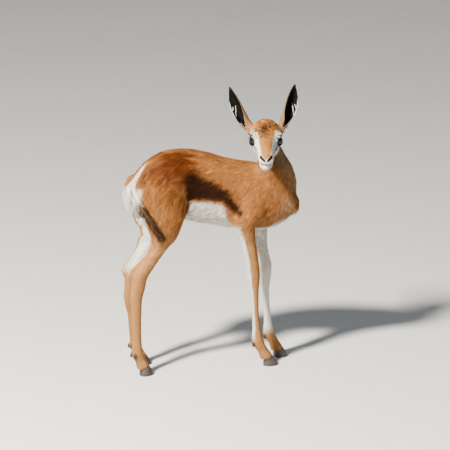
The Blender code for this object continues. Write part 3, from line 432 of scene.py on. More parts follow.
def spine_way(x):
    """The way the spine runs at x, and the way to its left."""
    slope = -2 * BEND * (x - BEND_X) / HALF_SPAN**2
    ahead = unit(np.stack([np.ones_like(slope), slope, np.zeros_like(slope)], -1))
    return ahead, np.stack([-ahead[..., 1], ahead[..., 0], np.zeros_like(slope)], -1)


def centreline(nodes, count):
    """The middle of each of count level slabs through the nodes, from the top down."""
    points = node_points(*nodes)
    low, high = points[:, 2].min(), points[:, 2].max()
    slab = np.clip(((high - points[:, 2]) / (high - low) * count).astype(int), 0, count - 1)
    least, most = np.full((count, 3), np.inf), np.full((count, 3), -np.inf)
    np.minimum.at(least, slab, points)
    np.maximum.at(most, slab, points)
    held = np.isfinite(least[:, 0])
    return ((least + most) / 2)[held]


LEG_BONES = {leg: centreline([leg + "_upper", leg + "_cannon"], 22) for leg in LEGS}
NECK_BONE = centreline(["neck"], 6)


def leg_of(points):
    """The number in LEGS of the leg whose line is nearest."""
    rows = [np.column_stack([LEG_BONES[leg], np.zeros(len(LEG_BONES[leg]))]) for leg in LEGS]
    return np.argmin(np.stack([near_chain(points, r) for r in rows]), axis=0)


def lie_anchors():
    """Places, ways and reaches that the coat's lie is blended from."""
    places, ways, reaches = [], [], []
    for (x, side, z), way, reach in LIE:
        ahead, left = spine_way(np.array(x))
        for hand in (1, -1) if side else (1,):
            places.append(np.array([x, spine_y(x), z]) + hand * side * left)
            ways.append(way[0] * ahead + hand * way[1] * left + way[2] * UP)
            reaches.append(reach)
    for place, way, reach in HEAD_LIE:
        for hand in (1, -1):
            places.append(in_head(np.multiply(place, (1, 1, hand))))
            ways.append(np.multiply(way, (1, 1, hand)) @ HEAD_AXES)
            reaches.append(reach)
    for bone in [*[b[b[:, 2] < 0.37] for b in LEG_BONES.values()], NECK_BONE]:
        along = np.gradient(bone, axis=0)
        places += list(bone)
        ways += list(along)
        reaches += [0.018] * len(bone)
    return np.array(places), unit(np.array(ways)), np.array(reaches)


LIE_PLACES, LIE_WAYS, LIE_REACHES = lie_anchors()


def lie_of_coat(points, normals):
    """The way the hair points: the anchors' ways weighed by exp(-d^2 / 2 reach^2), laid on the skin. Also
    the way of the heaviest anchor, which streaks keep to."""
    gap = ((points[:, None] - LIE_PLACES) ** 2).sum(-1)
    weight = np.exp(-gap / (2 * LIE_REACHES**2)) + 1e-12 / (gap + 1e-4)
    way = weight @ LIE_WAYS
    way -= normals * np.einsum("ij,ij->i", way, normals)[:, None]
    return unit(way), LIE_WAYS[np.argmax(weight, axis=1)]


def mesh_from(name, points, faces, normals=None):
    """An object from a vertex array and an array of faces of one size."""
    mesh = bpy.data.meshes.new(name)
    size = faces.shape[1]
    mesh.vertices.add(len(points))
    mesh.vertices.foreach_set("co", points.astype(np.float32).ravel())
    mesh.loops.add(faces.size)
    mesh.loops.foreach_set("vertex_index", faces.astype(np.int32).ravel())
    mesh.polygons.add(len(faces))
    mesh.polygons.foreach_set("loop_start", np.arange(0, faces.size, size, dtype=np.int32))
    mesh.update(calc_edges=True)
    mesh.shade_smooth()
    if normals is not None:
        mesh.normals_split_custom_set_from_vertices(normals.astype(np.float32))
    ob = bpy.data.objects.new(name, mesh)
    bpy.context.scene.collection.objects.link(ob)
    return ob


def paint(ob, colours, name="coat"):
    """Stores a colour for each vertex."""
    rgba = np.ones((len(colours), 4), np.float32)
    rgba[:, : colours.shape[1]] = colours
    held = ob.data.color_attributes.new(name, "FLOAT_COLOR", "POINT")
    held.data.foreach_set("color", rgba.ravel())


def values(ob, name, numbers):
    """Stores a number, or a vector, for each vertex."""
    kind, key = ("FLOAT", "value") if numbers.ndim == 1 else ("FLOAT_VECTOR", "vector")
    held = ob.data.attributes.new(name, kind, "POINT")
    held.data.foreach_set(key, numbers.astype(np.float32).ravel())


def grid_faces(rows, columns, ring=True):
    """Quads between rows of points; with ring, each row closes on itself."""
    i, j = np.meshgrid(np.arange(rows - 1), np.arange(columns if ring else columns - 1), indexing="ij")
    k = (j + 1) % columns
    return np.stack([i * columns + j, i * columns + k, (i + 1) * columns + k, (i + 1) * columns + j], -1).reshape(
        -1, 4)


def solid(name, points, faces):
    """A closed object from points and lists of faces, with its faces turned outward."""
    mesh = bpy.data.meshes.new(name)
    mesh.from_pydata(points.tolist(), [], faces)
    bm = bmesh.new()
    bm.from_mesh(mesh)
    bmesh.ops.recalc_face_normals(bm, faces=bm.faces)
    bm.to_mesh(mesh)
    bm.free()
    mesh.shade_smooth()
    ob = bpy.data.objects.new(name, mesh)
    bpy.context.scene.collection.objects.link(ob)
    return ob


def ring_solid(name, rings):
    """A closed object from rings of points, with its two ends closed by flat faces."""
    count, sides = rings.shape[:2]
    faces = grid_faces(count, sides).tolist()
    faces += [list(range(sides))[::-1], [(count - 1) * sides + k for k in range(sides)]]
    return solid(name, rings.reshape(-1, 3), faces)


def points_of(ob, what="vertices", key="co"):
    held = getattr(ob.data, what)
    flat = np.empty(len(held) * 3, np.float32)
    held.foreach_get(key, flat)
    return flat.reshape(-1, 3).astype(float)


def set_points(ob, points):
    ob.data.vertices.foreach_set("co", points.astype(np.float32).ravel())
    ob.data.update()


def normals_of(ob):
    return points_of(ob, "vertex_normals", "vector")


def modified(ob, kind, **settings):
    """Adds a modifier and applies it."""
    mod = ob.modifiers.new(kind, kind)
    for key, value in settings.items():
        setattr(mod, key, value)
    held = ob.evaluated_get(bpy.context.evaluated_depsgraph_get())
    mesh = bpy.data.meshes.new_from_object(held)
    old = ob.data
    ob.modifiers.clear()
    ob.data = mesh
    bpy.data.meshes.remove(old)
    return ob


def gone(ob):
    mesh = ob.data
    bpy.data.objects.remove(ob)
    bpy.data.meshes.remove(mesh)


def fitted(ob, slot, *replaced):
    """Rides with the body and stands for the CAD nodes given; slot is not used."""
    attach(ob, "root")
    if replaced:
        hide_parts(*replaced)
    return ob


def eye_axes(hand):
    """The way an eye looks, the way along its opening to the front, and the way up across it."""
    look = unit(np.multiply(EYE_LOOK, (1, 1, hand)) @ HEAD_AXES)
    along = unit(NOSE - look * (NOSE @ look))
    high = unit(BROW - look * (BROW @ look) - along * (BROW @ along))
    along = unit(along - EYE_TILT * high)
    return look, along, unit(high - along * (high @ along))


def opening_share(x, y):
    """1 on the edge of the eye's opening |y| = h (1 - |x/l|^1.9)^0.62, less inside and more outside."""
    half, tall = EYE_OPENING
    return np.abs(x / half) ** 1.9 + np.abs(y / tall) ** (1 / 0.62)


def coat_depth(points, sizes):
    """How deep the skin lies under the solids' surface."""
    head = to_head(points)
    on_head = ease((0.060 - np.linalg.norm(head - (0.0, 0.0, 0.0), axis=1)) / 0.012 + 0.5)
    on_head = np.maximum(on_head, ease((head[:, 0] - 0.02) / 0.01) * (points[:, 2] > 0.5))
    crown = ease((head[:, 1] - 0.018) / 0.014) * ease((0.016 - head[:, 0]) / 0.02)
    face = sizes.face_depth + (sizes.crown_depth - sizes.face_depth) * crown
    high = ease((points[:, 2] - 0.26) / 0.14)
    body = sizes.leg_depth + (sizes.trunk_depth - sizes.leg_depth) * high
    body = body * (0.25 + 0.75 * ease((points[:, 2] - 0.024) / 0.02))
    return on_head * face + (1 - on_head) * body


def relaxed(ob, rounds):
    """Moves each vertex half way to the mean of its neighbours, as many rounds as its own number says."""
    points = points_of(ob)
    edges = np.empty(len(ob.data.edges) * 2, np.int32)
    ob.data.edges.foreach_get("vertices", edges)
    a, b = edges.reshape(-1, 2).T
    count = np.bincount(a, minlength=len(points)) + np.bincount(b, minlength=len(points))
    for k in range(int(rounds.max())):
        mean = np.stack([
            np.bincount(a, points[b, c], len(points)) + np.bincount(b, points[a, c], len(points))
            for c in range(3)], -1) / count[:, None]
        points = np.where((rounds > k)[:, None], (points + mean) / 2, points)
    set_points(ob, points)


def swollen_flesh(by=0.0004):
    """Copies of the CAD's flesh and eyes in one object, each moved out a little so that the gaps close."""
    bm = bmesh.new()
    for name in [*FLESH, "eye_left", "eye_right"]:
        bm.from_mesh(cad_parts[name].data)
    bmesh.ops.remove_doubles(bm, verts=bm.verts, dist=1e-5)
    mesh = bpy.data.meshes.new("skin")
    bm.to_mesh(mesh)
    bm.free()
    ob = bpy.data.objects.new("skin", mesh)
    bpy.context.scene.collection.objects.link(ob)
    set_points(ob, points_of(ob) + by * normals_of(ob))
    return ob


def finer_face(ob):
    """Splits the edges of the skin round the eyes and on the muzzle."""
    points = points_of(ob)
    head = to_head(points)
    near = (head[:, 0] > 0.050) & (points[:, 2] > 0.5)
    for word, hand in HANDS.items():
        look = eye_axes(hand)[0]
        out = points - EYE_MIDDLE[word]
        near |= (np.linalg.norm(out, axis=1) < 0.0215) & (out @ look > 0.002)
    bm = bmesh.new()
    bm.from_mesh(ob.data)
    bm.verts.ensure_lookup_table()
    edges = [e for e in bm.edges if near[e.verts[0].index] and near[e.verts[1].index]]
    bmesh.ops.subdivide_edges(bm, edges=edges, cuts=1, use_grid_fill=True)
    bmesh.ops.triangulate(bm, faces=[f for f in bm.faces if len(f.verts) > 4])
    bm.to_mesh(ob.data)
    bm.free()
    ob.data.update()


def carve_face(ob, sizes):
    """Lids, nostrils and the line of the mouth, as moves of the skin's vertices. Inside the opening the skin
    sinks under the eye, round it the lid hugs the ball, and beyond it a fold runs above and below."""
    points = points_of(ob)
    for word, hand in HANDS.items():
        look, along, high = eye_axes(hand)
        out = points - EYE_MIDDLE[word]
        far = np.linalg.norm(out, axis=1)
        x, y, z = out @ along, out @ high, out @ look
        front = (z > 0) & (far < 0.024)
        edge = opening_share(x, y)
        inside = ease((1.06 - edge) / 0.14)
        lid = ease((2.4 - edge) / 1.3)
        fold = np.exp(-(((edge - 2.1) / 0.35) ** 2))
        hug = EYE_RADIUS + sizes.lid + 0.0004 * ease((edge - 1.0) / 0.5)
        goal = far * (1 - lid) + np.minimum(far, hug) * lid - 0.0007 * fold
        goal = goal * (1 - inside) + (EYE_RADIUS - 0.0016) * inside
        scale = np.where(front, goal / np.maximum(far, 1e-9), 1.0)
        points = EYE_MIDDLE[word] + out * scale[:, None]
    set_points(ob, points)
    normals = normals_of(ob)
    head = to_head(points)
    mirrored = np.stack([head[:, 0], head[:, 1], np.abs(head[:, 2])], -1)

    def chain(rows):
        return near_chain(mirrored, [(*r, 0.0) for r in rows])

    slit, mouth, groove = chain(NOSTRIL), chain(MOUTH), chain(PHILTRUM)
    move = -0.0026 * np.exp(-((slit / 0.0013) ** 2)) + 0.0005 * np.exp(-(((slit - 0.0030) / 0.0012) ** 2))
    move += -0.0011 * np.exp(-((mouth / 0.0010) ** 2)) + 0.0004 * np.exp(-(((mouth - 0.0026) / 0.0012) ** 2))
    move += -0.0008 * np.exp(-((groove / 0.0009) ** 2))
    set_points(ob, points + normals * move[:, None])


def ear_frame(hand, share):
    """At shares of the ear's length: its middle, and the ways along it, out of its opening and across."""
    word = "left" if hand > 0 else "right"
    root = in_head(np.multiply(EAR_ROOT, (1, 1, hand)))
    reach = np.array(EAR_TIP[word]) - root
    axis = unit(reach)
    opens = np.array(EAR_OPENS[word])
    opens = unit(opens - axis * (opens @ axis))
    wide = np.cross(axis, opens)
    bow = wide * (1 if wide @ LEFT * hand > 0 else -1)
    line = root + share[..., None] * reach + (0.007 * np.sin(np.pi * share**1.2))[..., None] * bow
    return line, axis, opens, wide


def ear_point(hand, share, across, layer):
    """A cupped leaf. At a share of its length the ear is an arc of radius r and half angle a about its
    middle: share of the half angle in across, and layer -1 on the hollow skin and 1 on the back."""
    table = np.array(EAR)
    radius, half, thick = (np.interp(share, table[:, 0], table[:, k]) for k in (1, 2, 3))
    line, axis, opens, wide = ear_frame(hand, share)
    angle = half * across
    thick = thick * (1 - 0.55 * np.abs(across) ** 3)
    r = radius + layer * thick / 2
    back = r * np.cos(angle) - radius * 0.55
    flare = 0.0012 * np.abs(across) ** 2 * np.sin(np.pi * share)
    point = line - (back - flare)[..., None] * opens + (r * np.sin(angle))[..., None] * wide
    out = (-np.cos(angle)[..., None] * opens + np.sin(angle)[..., None] * wide) * layer
    return point, out, axis, (np.cos(angle)[..., None] * wide + np.sin(angle)[..., None] * opens)


def ear_solid(hand, rows=56, columns=30):
    """Both skins of an ear as rings: over the back one way and through the hollow the other."""
    share = np.linspace(0, 1, rows)[:, None] ** 0.92
    back = np.linspace(-1, 1, columns)[None]
    outer = ear_point(hand, np.broadcast_to(share, (rows, columns)), np.broadcast_to(back, (rows, columns)), 1.0)[0]
    inner = ear_point(hand, np.broadcast_to(share, (rows, columns)),
                      np.broadcast_to(back[:, ::-1], (rows, columns)), -1.0)[0]
    return ring_solid("ear", np.concatenate([outer, inner], axis=1))


def tube(rows, rings, sides):
    """A round form along a smooth curve through rows of x, y, z, radius."""
    line = through(rows, rings)
    along = unit(np.gradient(line[:, :3], axis=0))
    side = unit(np.cross(along, UP))
    over = np.cross(side, along)
    turn = np.arange(sides) * 2 * np.pi / sides
    round_way = np.cos(turn)[None, :, None] * side[:, None] + np.sin(turn)[None, :, None] * over[:, None]
    return line[:, None, :3] + round_way * line[:, None, 3:4]


def ear_pattern(share, outer, colours):
    """Colours of the ear's hollow skin, by share of its length and by place from its inner edge at -1 to
    its outer edge at 1: a beige band along the inner edge that widens to the base, black beyond it, a
    white line between them low down, and a pale outer rim."""
    edge = np.interp(share, (0.10, 0.20, 0.30, 0.50, 0.75, 0.95), (0.50, 0.22, -0.12, -0.40, -0.62, -0.75))
    colour = np.tile(np.array(colours.ear_back) * 1.15, (len(share), 1))
    colour = mixed(colour, colours.white, 0.85 * np.exp(-(((outer - edge + 0.08) / 0.09) ** 2))
                   * ease((0.62 - share) / 0.15))
    colour = mixed(colour, colours.ear_hollow, ease((outer - edge) / 0.10))
    rim = ease((outer - 0.90 + 0.10 * ease((0.35 - share) / 0.2)) / 0.06)
    colour = mixed(colour, colours.white, 0.85 * rim * ease((0.80 - share) / 0.15))
    return mixed(colour, colours.ear_rim, 0.7 * ease((share - 0.90) / 0.08))


def outer_hand(hand):
    """1 where the ear's places across grow to its outer edge, else -1."""
    wide = ear_frame(hand, np.zeros(1))[3]
    return 1.0 if wide @ LEFT * hand > 0 else -1.0


def ear_sides(points, normals):
    """For points near an ear: how much they belong to it, to its hollow, the share of its length, and the
    place from its inner edge at -1 to its outer one at 1."""
    on, hollow, length, outer = (np.zeros(len(points)) for _ in range(4))
    table = np.array(EAR)
    for hand in (1, -1):
        root, axis, opens, wide = ear_frame(hand, np.zeros(1))
        tip = ear_frame(hand, np.ones(1))[0][0]
        long = np.linalg.norm(tip - root[0])
        share = (points - root[0]) @ axis / long
        line = ear_frame(hand, np.clip(share, 0, 1))[0]
        radius = np.interp(share, table[:, 0], table[:, 1])
        centre = line + (radius * 0.55)[:, None] * opens
        away = points - centre
        away -= axis * (away @ axis)[:, None]
        near = (np.linalg.norm(away, axis=1) < radius + 0.004) & (share > 0.10) & (share < 1.05)
        inward = np.einsum("ij,ij->i", away, normals) < 0
        on = np.where(near, ease((share - 0.10) / 0.14), on)
        hollow = np.where(near & inward, ease((share - 0.12) / 0.08), hollow)
        length = np.where(near, share, length)
        half = np.interp(share, table[:, 0], table[:, 2])
        turn = np.arctan2(away @ wide, -(away @ opens)) / half * outer_hand(hand)
        outer = np.where(near, np.clip(turn, -1, 1), outer)
    return on, hollow, length, outer


def mixed(colour, new, share):
    share = np.asarray(share)[:, None]
    return colour * (1 - share) + np.asarray(new)[None] * share


def stroke(colour, points, row, colours, ragged):
    name, soft, strength, chain = row
    far = near_chain(points, chain) + ragged * soft
    return mixed(colour, getattr(colours, name), strength * ease(0.5 - far / (2 * soft)))


def body_colour(points, normals, streak, colours):
    """Markings of trunk, neck and legs, with painted shade on the upper neck and a painted shadow under the tail's
    root. Edges are lines over x, and each wavers with the hair's streaks.
    """
    body = to_body(points)
    x, side, z = body.T
    waver = 0.012 * streak
    colour = np.tile(np.array(colours.fawn), (len(points), 1))
    colour = mixed(colour, colours.leg, ease((0.43 - z) / 0.12))
    mirrored = np.stack([x, np.abs(side), z], -1)
    white_and_shadow_strokes = [r for r in BODY_STROKES if r[0] in ("white", "hollow")]
    for row in [r for r in BODY_STROKES if r not in white_and_shadow_strokes]:
        colour = stroke(colour, mirrored, row, colours, 0.8 * streak)
    top, low = np.interp(x, BAND_X, BAND_TOP), np.interp(x, BAND_X, BAND_LOW)
    band = ease(0.6 + (top - z + waver) / 0.026) * ease((z - low + 0.3 * waver) / 0.007)
    band *= ease((x + 0.080 + waver) / 0.02) * ease((0.078 - x + waver) / 0.012)
    band *= ease((np.abs(side) - 0.02) / 0.02)
    colour = mixed(colour, colours.band, 0.96 * band)
    leg = leg_of(points)
    inner = np.where(leg % 2 == 0, 1.0, -1.0) * normals[:, 1]
    rear = -normals[:, 0]
    fore = leg < 2
    on_leg = ease((0.385 - z) / 0.02)
    inside = np.where(fore, np.maximum(ease((inner + 0.25 * rear - 0.05 + streak * 0.08) / 0.3),
                                       ease((rear - 0.33 + streak * 0.06) / 0.14)),
                      ease((inner - 0.42 + streak * 0.08) / 0.25) * ease((z - 0.245) / 0.03))
    inside = inside * np.where(fore, ease((z - 0.060) / 0.03), 1.0) * on_leg
    colour = mixed(colour, colours.white, inside)
    edge, wide = np.interp(x, BELLY_X, BELLY_Z), np.interp(x, BELLY_X, BELLY_WIDE)
    belly = ease((edge - z + 0.5 * waver) / 0.006) * ease((wide - np.abs(side)) / 0.010)
    belly *= ease((z - 0.32) / 0.02)
    colour = mixed(colour, colours.white, belly)
    # The white strokes last, and with them the painted shadow under the tail's root
    for row in white_and_shadow_strokes:
        place = body if row[0] == "hollow" else mirrored
        colour = stroke(colour, place, row, colours, 0.7 * streak)
    # Painted shade on the upper neck: the neck's colour, darkened for the shadow the head casts there
    neck = ease((z - 0.475) / 0.05) * ease((x - 0.105) / 0.03)
    colour = mixed(colour, colours.neck, 0.8 * neck * ease((z - 0.50) / 0.04))
    front = ease((normals[:, 0] + 0.3 * normals[:, 2] - 0.15) / 0.5) * ease((x - 0.12) / 0.03)
    return mixed(colour, colours.pale, 0.40 * front * ease((z - 0.43) / 0.05))


def head_colour(points, streak, colours):
    """Markings of the face: white, with the crown's strokes, painted shade under the chin, and the dark lids, mouth
    and nostrils.
    """
    head = to_head(points)
    mirrored = np.stack([head[:, 0], head[:, 1], np.abs(head[:, 2])], -1)
    colour = np.tile(np.array(colours.white), (len(points), 1))
    for row in HEAD_STROKES:
        colour = stroke(colour, mirrored, row, colours, 0.9 * streak)
    slit = near_chain(mirrored, [(*r, 0.0) for r in NOSTRIL])
    mouth = near_chain(mirrored, [(*r, 0.0) for r in MOUTH])
    groove = near_chain(mirrored, [(*r, 0.0) for r in PHILTRUM])
    dark = ease((0.0045 - slit) / 0.0016)
    dark = np.maximum(dark, 0.8 * ease((0.0040 - mouth) / 0.0022))
    dark = np.maximum(dark, ease((0.0028 - groove) / 0.0012))
    return mixed(colour, colours.lid, dark)


def coat_colour(points, normals, streak, colours):
    """The markings of the whole animal at places on its skin, with the painted shade on neck and chin and under the
    tail's root.
    """
    head = to_head(points)
    body = body_colour(points, normals, streak, colours)
    face = head_colour(points, streak, colours)
    behind = near_chain(head, [(-0.050, 0.000, 0.0, 0.050), (0.060, -0.015, 0.0, 0.050)])
    on_head = ease(0.5 - (behind - 0.004 * streak) / 0.012) * ease((points[:, 2] - 0.530) / 0.006)
    colour = body * (1 - on_head[:, None]) + face * on_head[:, None]
    on_ear, hollow, length, outer = ear_sides(points, normals)
    back = mixed(np.tile(np.array(colours.ear_back), (len(points), 1)), colours.ear_rim,
                 0.8 * ease((length - 0.80) / 0.18))
    colour = colour * (1 - on_ear[:, None]) + back * on_ear[:, None]
    colour = colour * (1 - hollow[:, None]) + ear_pattern(length, outer, colours) * hollow[:, None]
    tail = near_chain(points, TAIL)
    down = ease((0.449 - points[:, 2]) / 0.012)
    tail_colour = mixed(np.tile(np.array(colours.white), (len(points), 1)), colours.brush, down)
    on_tail = ease((0.0012 - tail) / 0.001)
    return colour * (1 - on_tail[:, None]) + tail_colour * on_tail[:, None]


def streaks(points, way, across=0.0022, along=0.016, seed=7):
    """Streaks along the hair from -1 to 1: noise in space squeezed along each place's own way."""
    run = np.einsum("ij,ij->i", points, way)[:, None]
    squeezed = points - way * run * (1 - across / along)
    fine = noise(squeezed, across, seed)
    return 0.45 * fine + 0.65 * noise(squeezed, across * 2.7, seed + 1)


def scattered(ob, count, weight, chance):
    """Places on a mesh, spread by area and weight: one in each equal share of the running total."""
    mesh = ob.data
    mesh.calc_loop_triangles()
    corners = np.empty(len(mesh.loop_triangles) * 3, np.int32)
    mesh.loop_triangles.foreach_get("vertices", corners)
    corners = corners.reshape(-1, 3)
    points, normals = points_of(ob), normals_of(ob)
    a, b, c = (points[corners[:, k]] for k in range(3))
    area = np.linalg.norm(np.cross(b - a, c - a), axis=1)
    total = np.cumsum(area * weight((a + b + c) / 3))
    pick = (np.arange(count) + chance.random(count)) / count * total[-1]
    tri = np.minimum(np.searchsorted(total, pick), len(total) - 1)
    u, v = np.sqrt(chance.random(count)), chance.random(count)
    share = np.stack([1 - u, u * (1 - v), u * v], -1)
    place = np.einsum("ij,ijk->ik", share, points[corners[tri]])
    return place, unit(np.einsum("ij,ijk->ik", share, normals[corners[tri]]))


def tufts(root, along, out, length, width, rings=2, rise=(0.35, -0.05), yaw=0.0, flat=0.5, sink=0.0005,
          sides=3):
    """Closed tapering tufts, one for each root. A tuft leaves the skin at an angle rise[0], bends to
    rise[1] at its tip and turns sideways by yaw; its sections are flattened triangles whose size falls as
    1 - t^1.6 from root to tip. Returns the points by tuft, one tuft's faces and each vertex's way out."""
    count = len(root)
    length, width, yaw = (np.broadcast_to(v, count).astype(float) for v in (length, width, yaw))
    first, last = (np.broadcast_to(v, count).astype(float) for v in rise)
    side = np.cross(along, out)
    steps = [root - sink * out]
    for k in range(rings):
        t = (k + 0.5) / rings
        a = first + (last - first) * t
        level = np.cos(yaw * t)[:, None] * along + np.sin(yaw * t)[:, None] * side
        way = np.cos(a)[:, None] * level + np.sin(a)[:, None] * out
        steps.append(steps[-1] + way * (length / rings)[:, None])
    turn = np.arange(sides) * 2 * np.pi / sides + np.pi / 2
    points, ways = [], []
    for k in range(rings):
        t = k / rings
        level = np.cos(yaw * t)[:, None] * along + np.sin(yaw * t)[:, None] * side
        across = np.cross(level, out)
        size = width * (1 - t**1.6)
        for angle in turn:
            way = np.cos(angle) * across + np.sin(angle) * out
            points.append(steps[k] + size[:, None] * (np.cos(angle) * across + flat * np.sin(angle) * out))
            ways.append(way)
    points.append(steps[-1])
    ways.append(out)
    faces = [list(range(sides))]
    for k in range(rings - 1):
        for j in range(sides):
            a, b = k * sides + j, k * sides + (j + 1) % sides
            faces += [[a, a + sides, b], [b, a + sides, b + sides]]
    end = (rings - 1) * sides
    faces += [[end + j, len(points) - 1, end + (j + 1) % sides] for j in range(sides)]
    if sides > 3:
        faces = [[0, k, k + 1] for k in range(1, sides - 1)] + faces[1:]
    return np.stack(points, 1), np.array(faces), np.stack(ways, 1)


def coat_piece(name, made, colour, skin_out, uv, soften=0.65):
    """One joined mesh of tufts, with its colours, soft normals and the map OFBake, where each tuft is a
    patch 0.003 across at its root's place."""
    points, faces, ways = made
    count, each = points.shape[:2]
    all_faces = (np.arange(count)[:, None, None] * each + faces).reshape(-1, 3)
    normals = unit(soften * skin_out[:, None] + (1 - soften) * ways).reshape(-1, 3)
    ob = mesh_from(name, points.reshape(-1, 3), all_faces, normals)
    paint(ob, colour.reshape(-1, 3))
    step = np.arange(each)
    patch = np.stack([(step % 3) / 2 - 0.5, (step // 3) / max((each - 1) // 3, 1) - 0.5], -1) * 0.003
    spot = (uv[:, None] + patch).reshape(-1, 2)
    held = ob.data.uv_layers.new(name="OFBake")
    held.data.foreach_set("uv", spot[all_faces.ravel()].astype(np.float32).ravel())
    ob.data.materials.append(coat_finish())
    return ob


def unwrapped(points, origin, axis, front):
    """The skin unrolled round an axis: share of a turn, and share of the length."""
    axis = unit(axis)
    front = unit(np.asarray(front) - axis * (np.asarray(front) @ axis))
    side = np.cross(axis, front)
    out = points - origin
    turn = np.arctan2(out @ side, out @ front)
    run = out @ axis
    uv = np.stack([turn, run], -1)
    low, high = uv.min(0), uv.max(0)
    return 0.01 + 0.98 * (uv - low) / (high - low)


def hair_colours(roots, colour, each, rings, chance, root_shade=0.50, tip_shade=1.12, spread=0.18):
    """Each tuft's own shade of its colour, darker toward the root as painted shade deep in the coat, and lighter at
    the tip.
    """
    shade = 1 + spread * chance.standard_normal(len(roots))
    level = np.minimum(np.arange(each) // 3, rings) / rings
    ramp = root_shade + (tip_shade - root_shade) * level
    return np.clip(colour[:, None] * shade[:, None, None] * ramp[None, :, None], 0, 1)


def node_tree(name):
    found = bpy.data.materials.get(name)
    if found:
        return found, None
    made = bpy.data.materials.new(name)
    made.use_nodes = True
    return made, made.node_tree


def linked(tree, kind, inputs=(), **settings):
    """A new node with its settings, and its inputs set to values or linked to sockets."""
    node = tree.nodes.new(kind)
    for key, value in settings.items():
        setattr(node, key, value)
    for key, value in dict(inputs).items():
        if isinstance(value, bpy.types.NodeSocket):
            tree.links.new(value, node.inputs[key])
        else:
            node.inputs[key].default_value = value
    return node


def speckled(tree, colour, where, scale, amount):
    """Colour made lighter and darker by noise."""
    grain = linked(tree, "ShaderNodeTexNoise", {"Vector": where, "Scale": scale, "Detail": 3.0})
    spread = linked(tree, "ShaderNodeMapRange", {
        "Value": grain.outputs["Fac"], "From Min": 0.3, "From Max": 0.7, "To Min": 1 - amount,
        "To Max": 1 + amount})
    return linked(tree, "ShaderNodeVectorMath", {0: colour, 1: spread.outputs["Result"]},
                  operation="MULTIPLY").outputs[0]


def coat_finish():
    """Hair: the painted colour with a fine grain, matt with a soft sheen."""
    made, tree = node_tree("coat")
    if tree is None:
        return made
    shader = tree.nodes["Principled BSDF"]
    tint = linked(tree, "ShaderNodeAttribute", attribute_name="coat")
    place = linked(tree, "ShaderNodeTexCoord")
    colour = speckled(tree, tint.outputs["Color"], place.outputs["Object"], 260.0, 0.14)
    tree.links.new(colour, shader.inputs["Base Color"])
    shader.inputs["Roughness"].default_value = 0.58
    shader.inputs["Specular IOR Level"].default_value = 0.14
    shader.inputs["Sheen Weight"].default_value = 0.03
    shader.inputs["Sheen Roughness"].default_value = 0.45
    return made


def skin_finish():
    """Skin and its shortest fur: the painted colour, a grain along the hair and a bump of fine hairs."""
    made, tree = node_tree("skin")
    if tree is None:
        return made
    shader = tree.nodes["Principled BSDF"]
    tint = linked(tree, "ShaderNodeAttribute", attribute_name="coat")
    grain = linked(tree, "ShaderNodeAttribute", attribute_name="grain")
    colour = speckled(tree, tint.outputs["Color"], grain.outputs["Vector"], 1500.0, 0.22)
    tree.links.new(colour, shader.inputs["Base Color"])
    hair = linked(tree, "ShaderNodeTexNoise", {"Vector": grain.outputs["Vector"], "Scale": 2200.0, "Detail": 2.0})
    bump = linked(tree, "ShaderNodeBump", {"Height": hair.outputs["Fac"], "Strength": 0.55, "Distance": 0.0006})
    tree.links.new(bump.outputs["Normal"], shader.inputs["Normal"])
    wet = linked(tree, "ShaderNodeAttribute", attribute_name="wet")
    rough = linked(tree, "ShaderNodeMapRange", {"Value": wet.outputs["Fac"], "To Min": 0.72, "To Max": 0.30})
    tree.links.new(rough.outputs["Result"], shader.inputs["Roughness"])
    shader.inputs["Specular IOR Level"].default_value = 0.16
    return made


def eye_finish(colours):
    """A near-black wet eye: a dark brown iris with fine spokes over its front, blacker beyond it, under a clear
    coat.
    """
    made, tree = node_tree("eye")
    if tree is None:
        return made
    shader = tree.nodes["Principled BSDF"]
    gaze = linked(tree, "ShaderNodeAttribute", attribute_name="gaze")
    parts = linked(tree, "ShaderNodeSeparateXYZ", {"Vector": gaze.outputs["Vector"]})
    spokes = linked(tree, "ShaderNodeTexNoise", {"Vector": gaze.outputs["Vector"], "Scale": 9.0, "Detail": 4.0})
    iris = linked(tree, "ShaderNodeValToRGB", {"Fac": spokes.outputs["Fac"]})
    iris.color_ramp.elements[0].color = (*[c * 0.35 for c in colours.eye], 1)
    iris.color_ramp.elements[1].color = (*[min(c * 2.2, 1) for c in colours.eye], 1)
    ring = linked(tree, "ShaderNodeMapRange", {
        "Value": parts.outputs["Z"], "From Min": 0.55, "From Max": 0.72, "To Min": 0.0, "To Max": 1.0},
        interpolation_type="SMOOTHSTEP")
    colour = linked(tree, "ShaderNodeMix", data_type="RGBA")
    tree.links.new(ring.outputs["Result"], colour.inputs["Factor"])
    colour.inputs["A"].default_value = (0.004, 0.003, 0.003, 1)
    tree.links.new(iris.outputs["Color"], colour.inputs["B"])
    tree.links.new(colour.outputs["Result"], shader.inputs["Base Color"])
    shader.inputs["Roughness"].default_value = 0.30
    shader.inputs["Coat Weight"].default_value = 0.06
    shader.inputs["Coat Roughness"].default_value = 0.02
    shader.inputs["IOR"].default_value = 1.0
    return made


